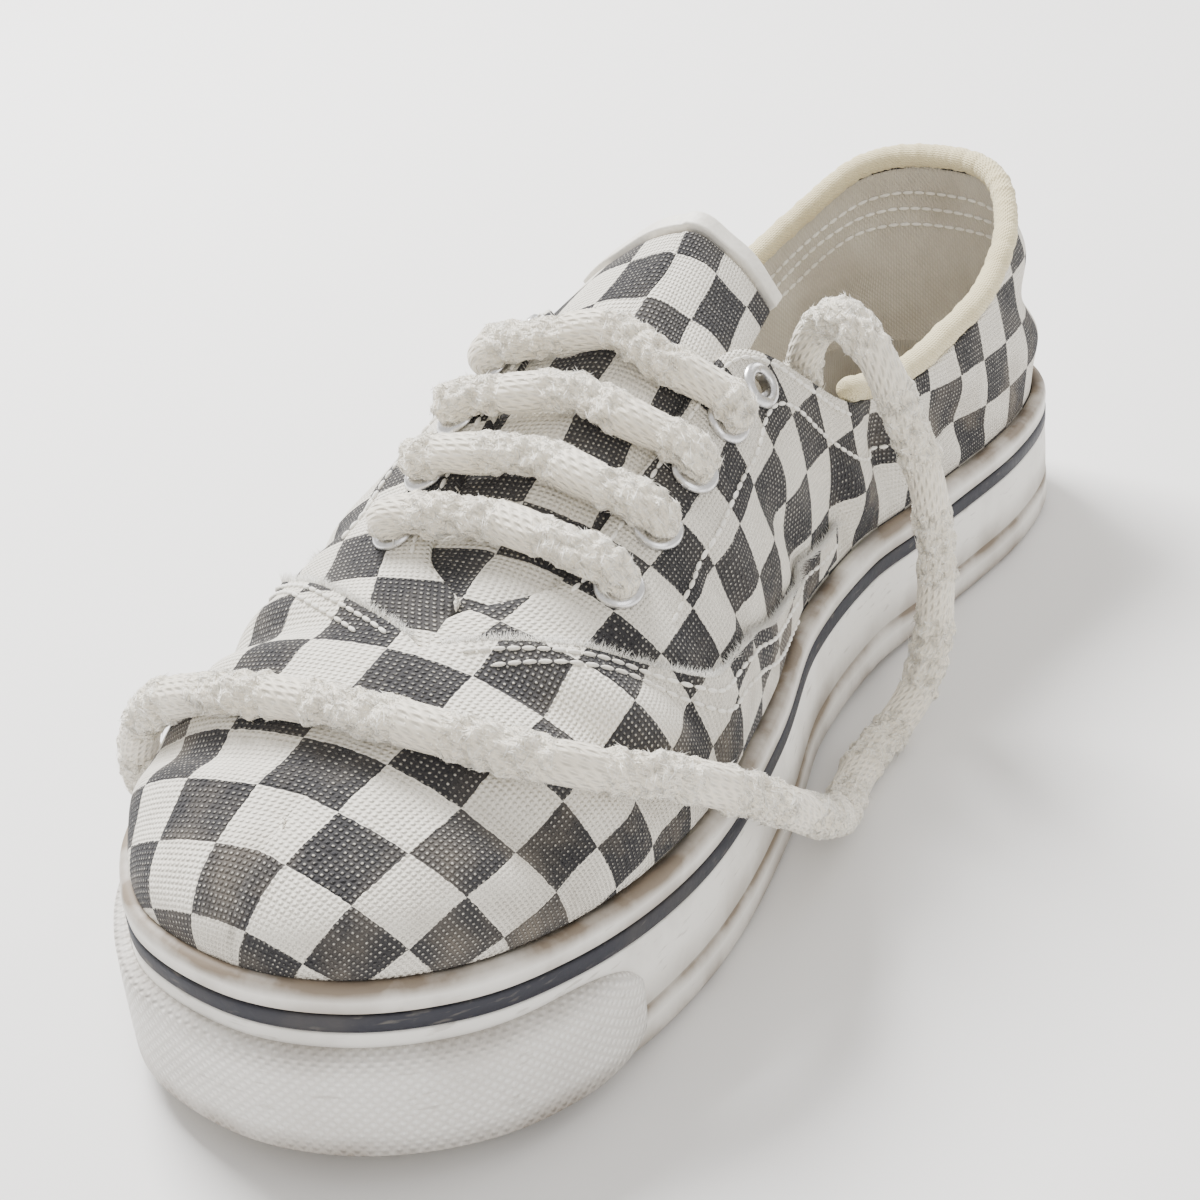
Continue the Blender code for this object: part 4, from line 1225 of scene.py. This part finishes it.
    def build(self) -> None:
        """Makes every cloth piece."""
        self.build_shell()
        self.build_panels()
        self.build_stitches()
        self.build_tongue()
        self.build_collar()
        self.build_eyelets()


@dataclass
class Laces:
    """Fluffy rope lace: straight bars through the eyelets and one loose end."""

    upper: Upper
    radius: float = 3.8 * MM
    fibre: float = 2.6 * MM
    density: float = 7.5e6
    mouth: float = 1.9 * MM
    tufting: float = 1.3 * MM
    tuft: float = 26 * MM

    def __post_init__(self) -> None:
        """Makes the cord's finishes."""
        self.core = LACE_CORE.build("lace core")
        self.fibres = fibre_tree(LACE_FLUFF.build("lace fluff"))

    def strand(self, name: str, path: Array, radius: Array, seed: int) -> tuple[Piece, Piece]:
        """One stretch of lace with its fluff.

        Args:
            name: the stretch's name.
            path: points of its middle line.
            radius: one radius for each point.
            seed: seed of the fluff.
        Returns:
            The core and the fluff.
        """
        core = rope(name, path, radius, self.core, sides=30)
        where = points_of(core)
        near = np.array([np.argmin(((path - point) ** 2).sum(1)) for point in where])
        run = run_along(path)[near]
        fuzz = 0.05 + 0.95 * ease(-0.80, -0.30, np.sin(2 * math.pi * run / self.tuft + seed))
        fuzz *= ease(0.5, 0.9, radius[near] / self.radius)
        out = where - path[near]
        out /= np.maximum(np.linalg.norm(out, axis=1, keepdims=True), 0.1 * MM)
        lumps = np.array([noise.noise(Vector(point) / (2.1 * MM)) for point in where])
        where += out * (lumps * fuzz * self.tufting)[:, None]
        move_points(core, where)
        mark(core, "fuzz", fuzz)
        fluff = run_tree(name + "_fluff", core, self.fibres, {
            "Density": self.density, "Length": self.fibre, "Radius": 0.19 * MM, "Spread": 1.2, "Seed": seed})
        move_points(fluff, points_of(fluff))
        return core, fluff

    def bar(self, number: int) -> None:
        """Lays one straight bar from eyelet to eyelet, diving into each."""
        row = self.upper.eyelet_rows[number]
        ends = {side: self.upper.eyelet(side, number) for side in Side}
        (inner, inner_way), (outer, outer_way) = ends[Side.INNER], ends[Side.OUTER]
        top = FORM.skin(np.array(row), np.array(1.0))
        up = FORM.normal(np.array(row), np.array(1.0))
        back = top + up * 3.0 * MM
        knots = [inner - inner_way * 1.2 * MM, inner + inner_way * 3.2 * MM]
        knots += [inner + inner_way * 5.4 * MM + (top - inner) * 0.22]
        knots += [(inner + top) / 2 + up * 5.6 * MM, back + up * 0.6 * MM]
        knots += [(outer + top) / 2 + up * 5.4 * MM, outer + outer_way * 5.4 * MM + (top - outer) * 0.22]
        knots += [outer + outer_way * 3.2 * MM, outer - outer_way * 1.2 * MM]
        path = curve(np.array(knots), np.linspace(0, 8, 150))
        run = np.linspace(0, 1, 150)
        squeeze = ease(0.0, 0.16, np.minimum(run, 1 - run))
        radius = self.mouth + (self.radius - self.mouth) * squeeze
        radius *= 1 + 0.05 * np.sin(run * 31 + number)
        core, fluff = self.strand(f"lace_row_{number + 1}", path, radius, 11 + number)
        keep(core, "lace_cotton", f"lace_bar_{number + 1}")
        keep(fluff, "lace_cotton")

    def build_end(self) -> None:
        """Lays the loose end along its route and closes it with a sleeve."""
        route = np.array(LACE_ROUTE)
        path = curve(route, np.linspace(0, len(route) - 1, 900))
        run = run_along(path)
        radius = self.radius * (1 + 0.035 * np.sin(run / (6 * MM)) * np.sin(run / (17 * MM)))
        radius *= np.sqrt(1 - (1 - np.clip((run + 0.1 * MM) / (3.6 * MM), 0, 1)) ** 2)
        core, fluff = self.strand("loose_lace", path, radius, 29)
        keep(core, "lace_cotton", "lace_end")
        keep(fluff, "lace_cotton")
        way = (path[-1] - path[-2]) / np.linalg.norm(path[-1] - path[-2])
        spots = np.linspace(0, 1, 24)
        sleeve = path[-1] + way * (CLEARANCE + 20 * MM * spots[:, None])
        size = 2.4 * MM * np.where(spots < 0.08, 0.85 + spots * 1.9, 1.0) * (1 - 0.25 * ease(0.9, 1.0, spots))
        tip = rope("lace_sleeve", sleeve, size, SLEEVE.build("lace sleeve"), 24)
        keep(tip, "lace_tip", "lace_tip")

    def build(self) -> None:
        """Lays the loose end and the four bars."""
        self.build_end()
        for number in range(4):
            self.bar(number)


@dataclass(frozen=True)
class Studio:
    """Pale floor, soft lights, and the camera at the photograph's angle."""

    azimuth: float = 35.3
    elevation: float = 29.3
    roll: float = -5.1
    distance: float = 0.4416
    target: tuple = (0.0, -0.020, 0.040)
    focal_pixels: float = 2243.0
    frame_pixels: float = 1200.0

    def build_camera(self) -> None:
        """Sets the camera."""
        turn, rise = math.radians(self.azimuth), math.radians(self.elevation)
        back = Vector((math.sin(turn) * math.cos(rise), -math.cos(turn) * math.cos(rise), math.sin(rise)))
        camera = bpy.data.cameras.new("camera")
        camera.sensor_width = SENSOR
        camera.lens = SENSOR * self.focal_pixels / self.frame_pixels
        camera.clip_start = 0.01
        holder = linked("camera", camera)
        holder.location = Vector(self.target) + back * self.distance
        side = (-back).cross(Vector((0, 0, 1))).normalized()
        up = side.cross(-back)
        lean = math.radians(self.roll)
        right, over = side * math.cos(lean) + up * math.sin(lean), up * math.cos(lean) - side * math.sin(lean)
        holder.rotation_mode = "QUATERNION"
        holder.rotation_quaternion = Matrix((right, over, back)).transposed().to_quaternion()
        bpy.context.scene.camera = holder

    def build_floor(self) -> None:
        """Lays the floor."""
        size = 4.0
        corners = [(-size, -size, 0), (size, -size, 0), (size, size, 0), (-size, size, 0)]
        mesh = bpy.data.meshes.new("floor")
        mesh.from_pydata(corners, [], [(0, 1, 2, 3)])
        paint = Paint("floor", 0.8)
        grain = paint.noise(paint.place.outputs["Object"], 8.0)
        colour = paint.mix(grain, (0.78, 0.77, 0.76), (0.80, 0.79, 0.78))
        mesh.materials.append(paint.done(colour, grain, 0.01 * MM))
        floor = linked("floor", mesh)

    def build_lights(self) -> None:
        """Sets three soft lamps and a pale surrounding."""
        for name, spot, power, size in (
            ("key", (-0.8, 0.3, 1.1), 58.0, 0.6),
            ("fill", (1.3, -0.9, 0.9), 10.0, 1.2),
            ("back", (0.2, 1.4, 0.8), 8.0, 0.8),
        ):
            lamp = bpy.data.lights.new(name, "AREA")
            lamp.energy, lamp.size = power, size
            holder = linked(name, lamp)
            holder.location = spot
            holder.rotation_mode = "QUATERNION"
            holder.rotation_quaternion = (-Vector(spot)).to_track_quat("-Z", "Y")
        world = bpy.data.worlds.new("studio")
        world.use_nodes = True
        world.node_tree.nodes["Background"].inputs[0].default_value = (1.0, 0.975, 0.94, 1)
        world.node_tree.nodes["Background"].inputs[1].default_value = 1.0
        bpy.context.scene.world = world

    def build(self) -> None:
        """Sets the whole studio."""
        self.build_camera()
        self.build_floor()
        self.build_lights()


def main() -> None:
    """Builds the studio and every sub-assembly of the shoe."""
    logging.basicConfig(level=logging.INFO, format="%(message)s")
    Studio().build()
    upper = Upper()
    for assembly in (Laces(upper), Sole(), upper):
        assembly.build()
        LOG.info("built %s", type(assembly).__name__)


if __name__ == "__main__":
    main()
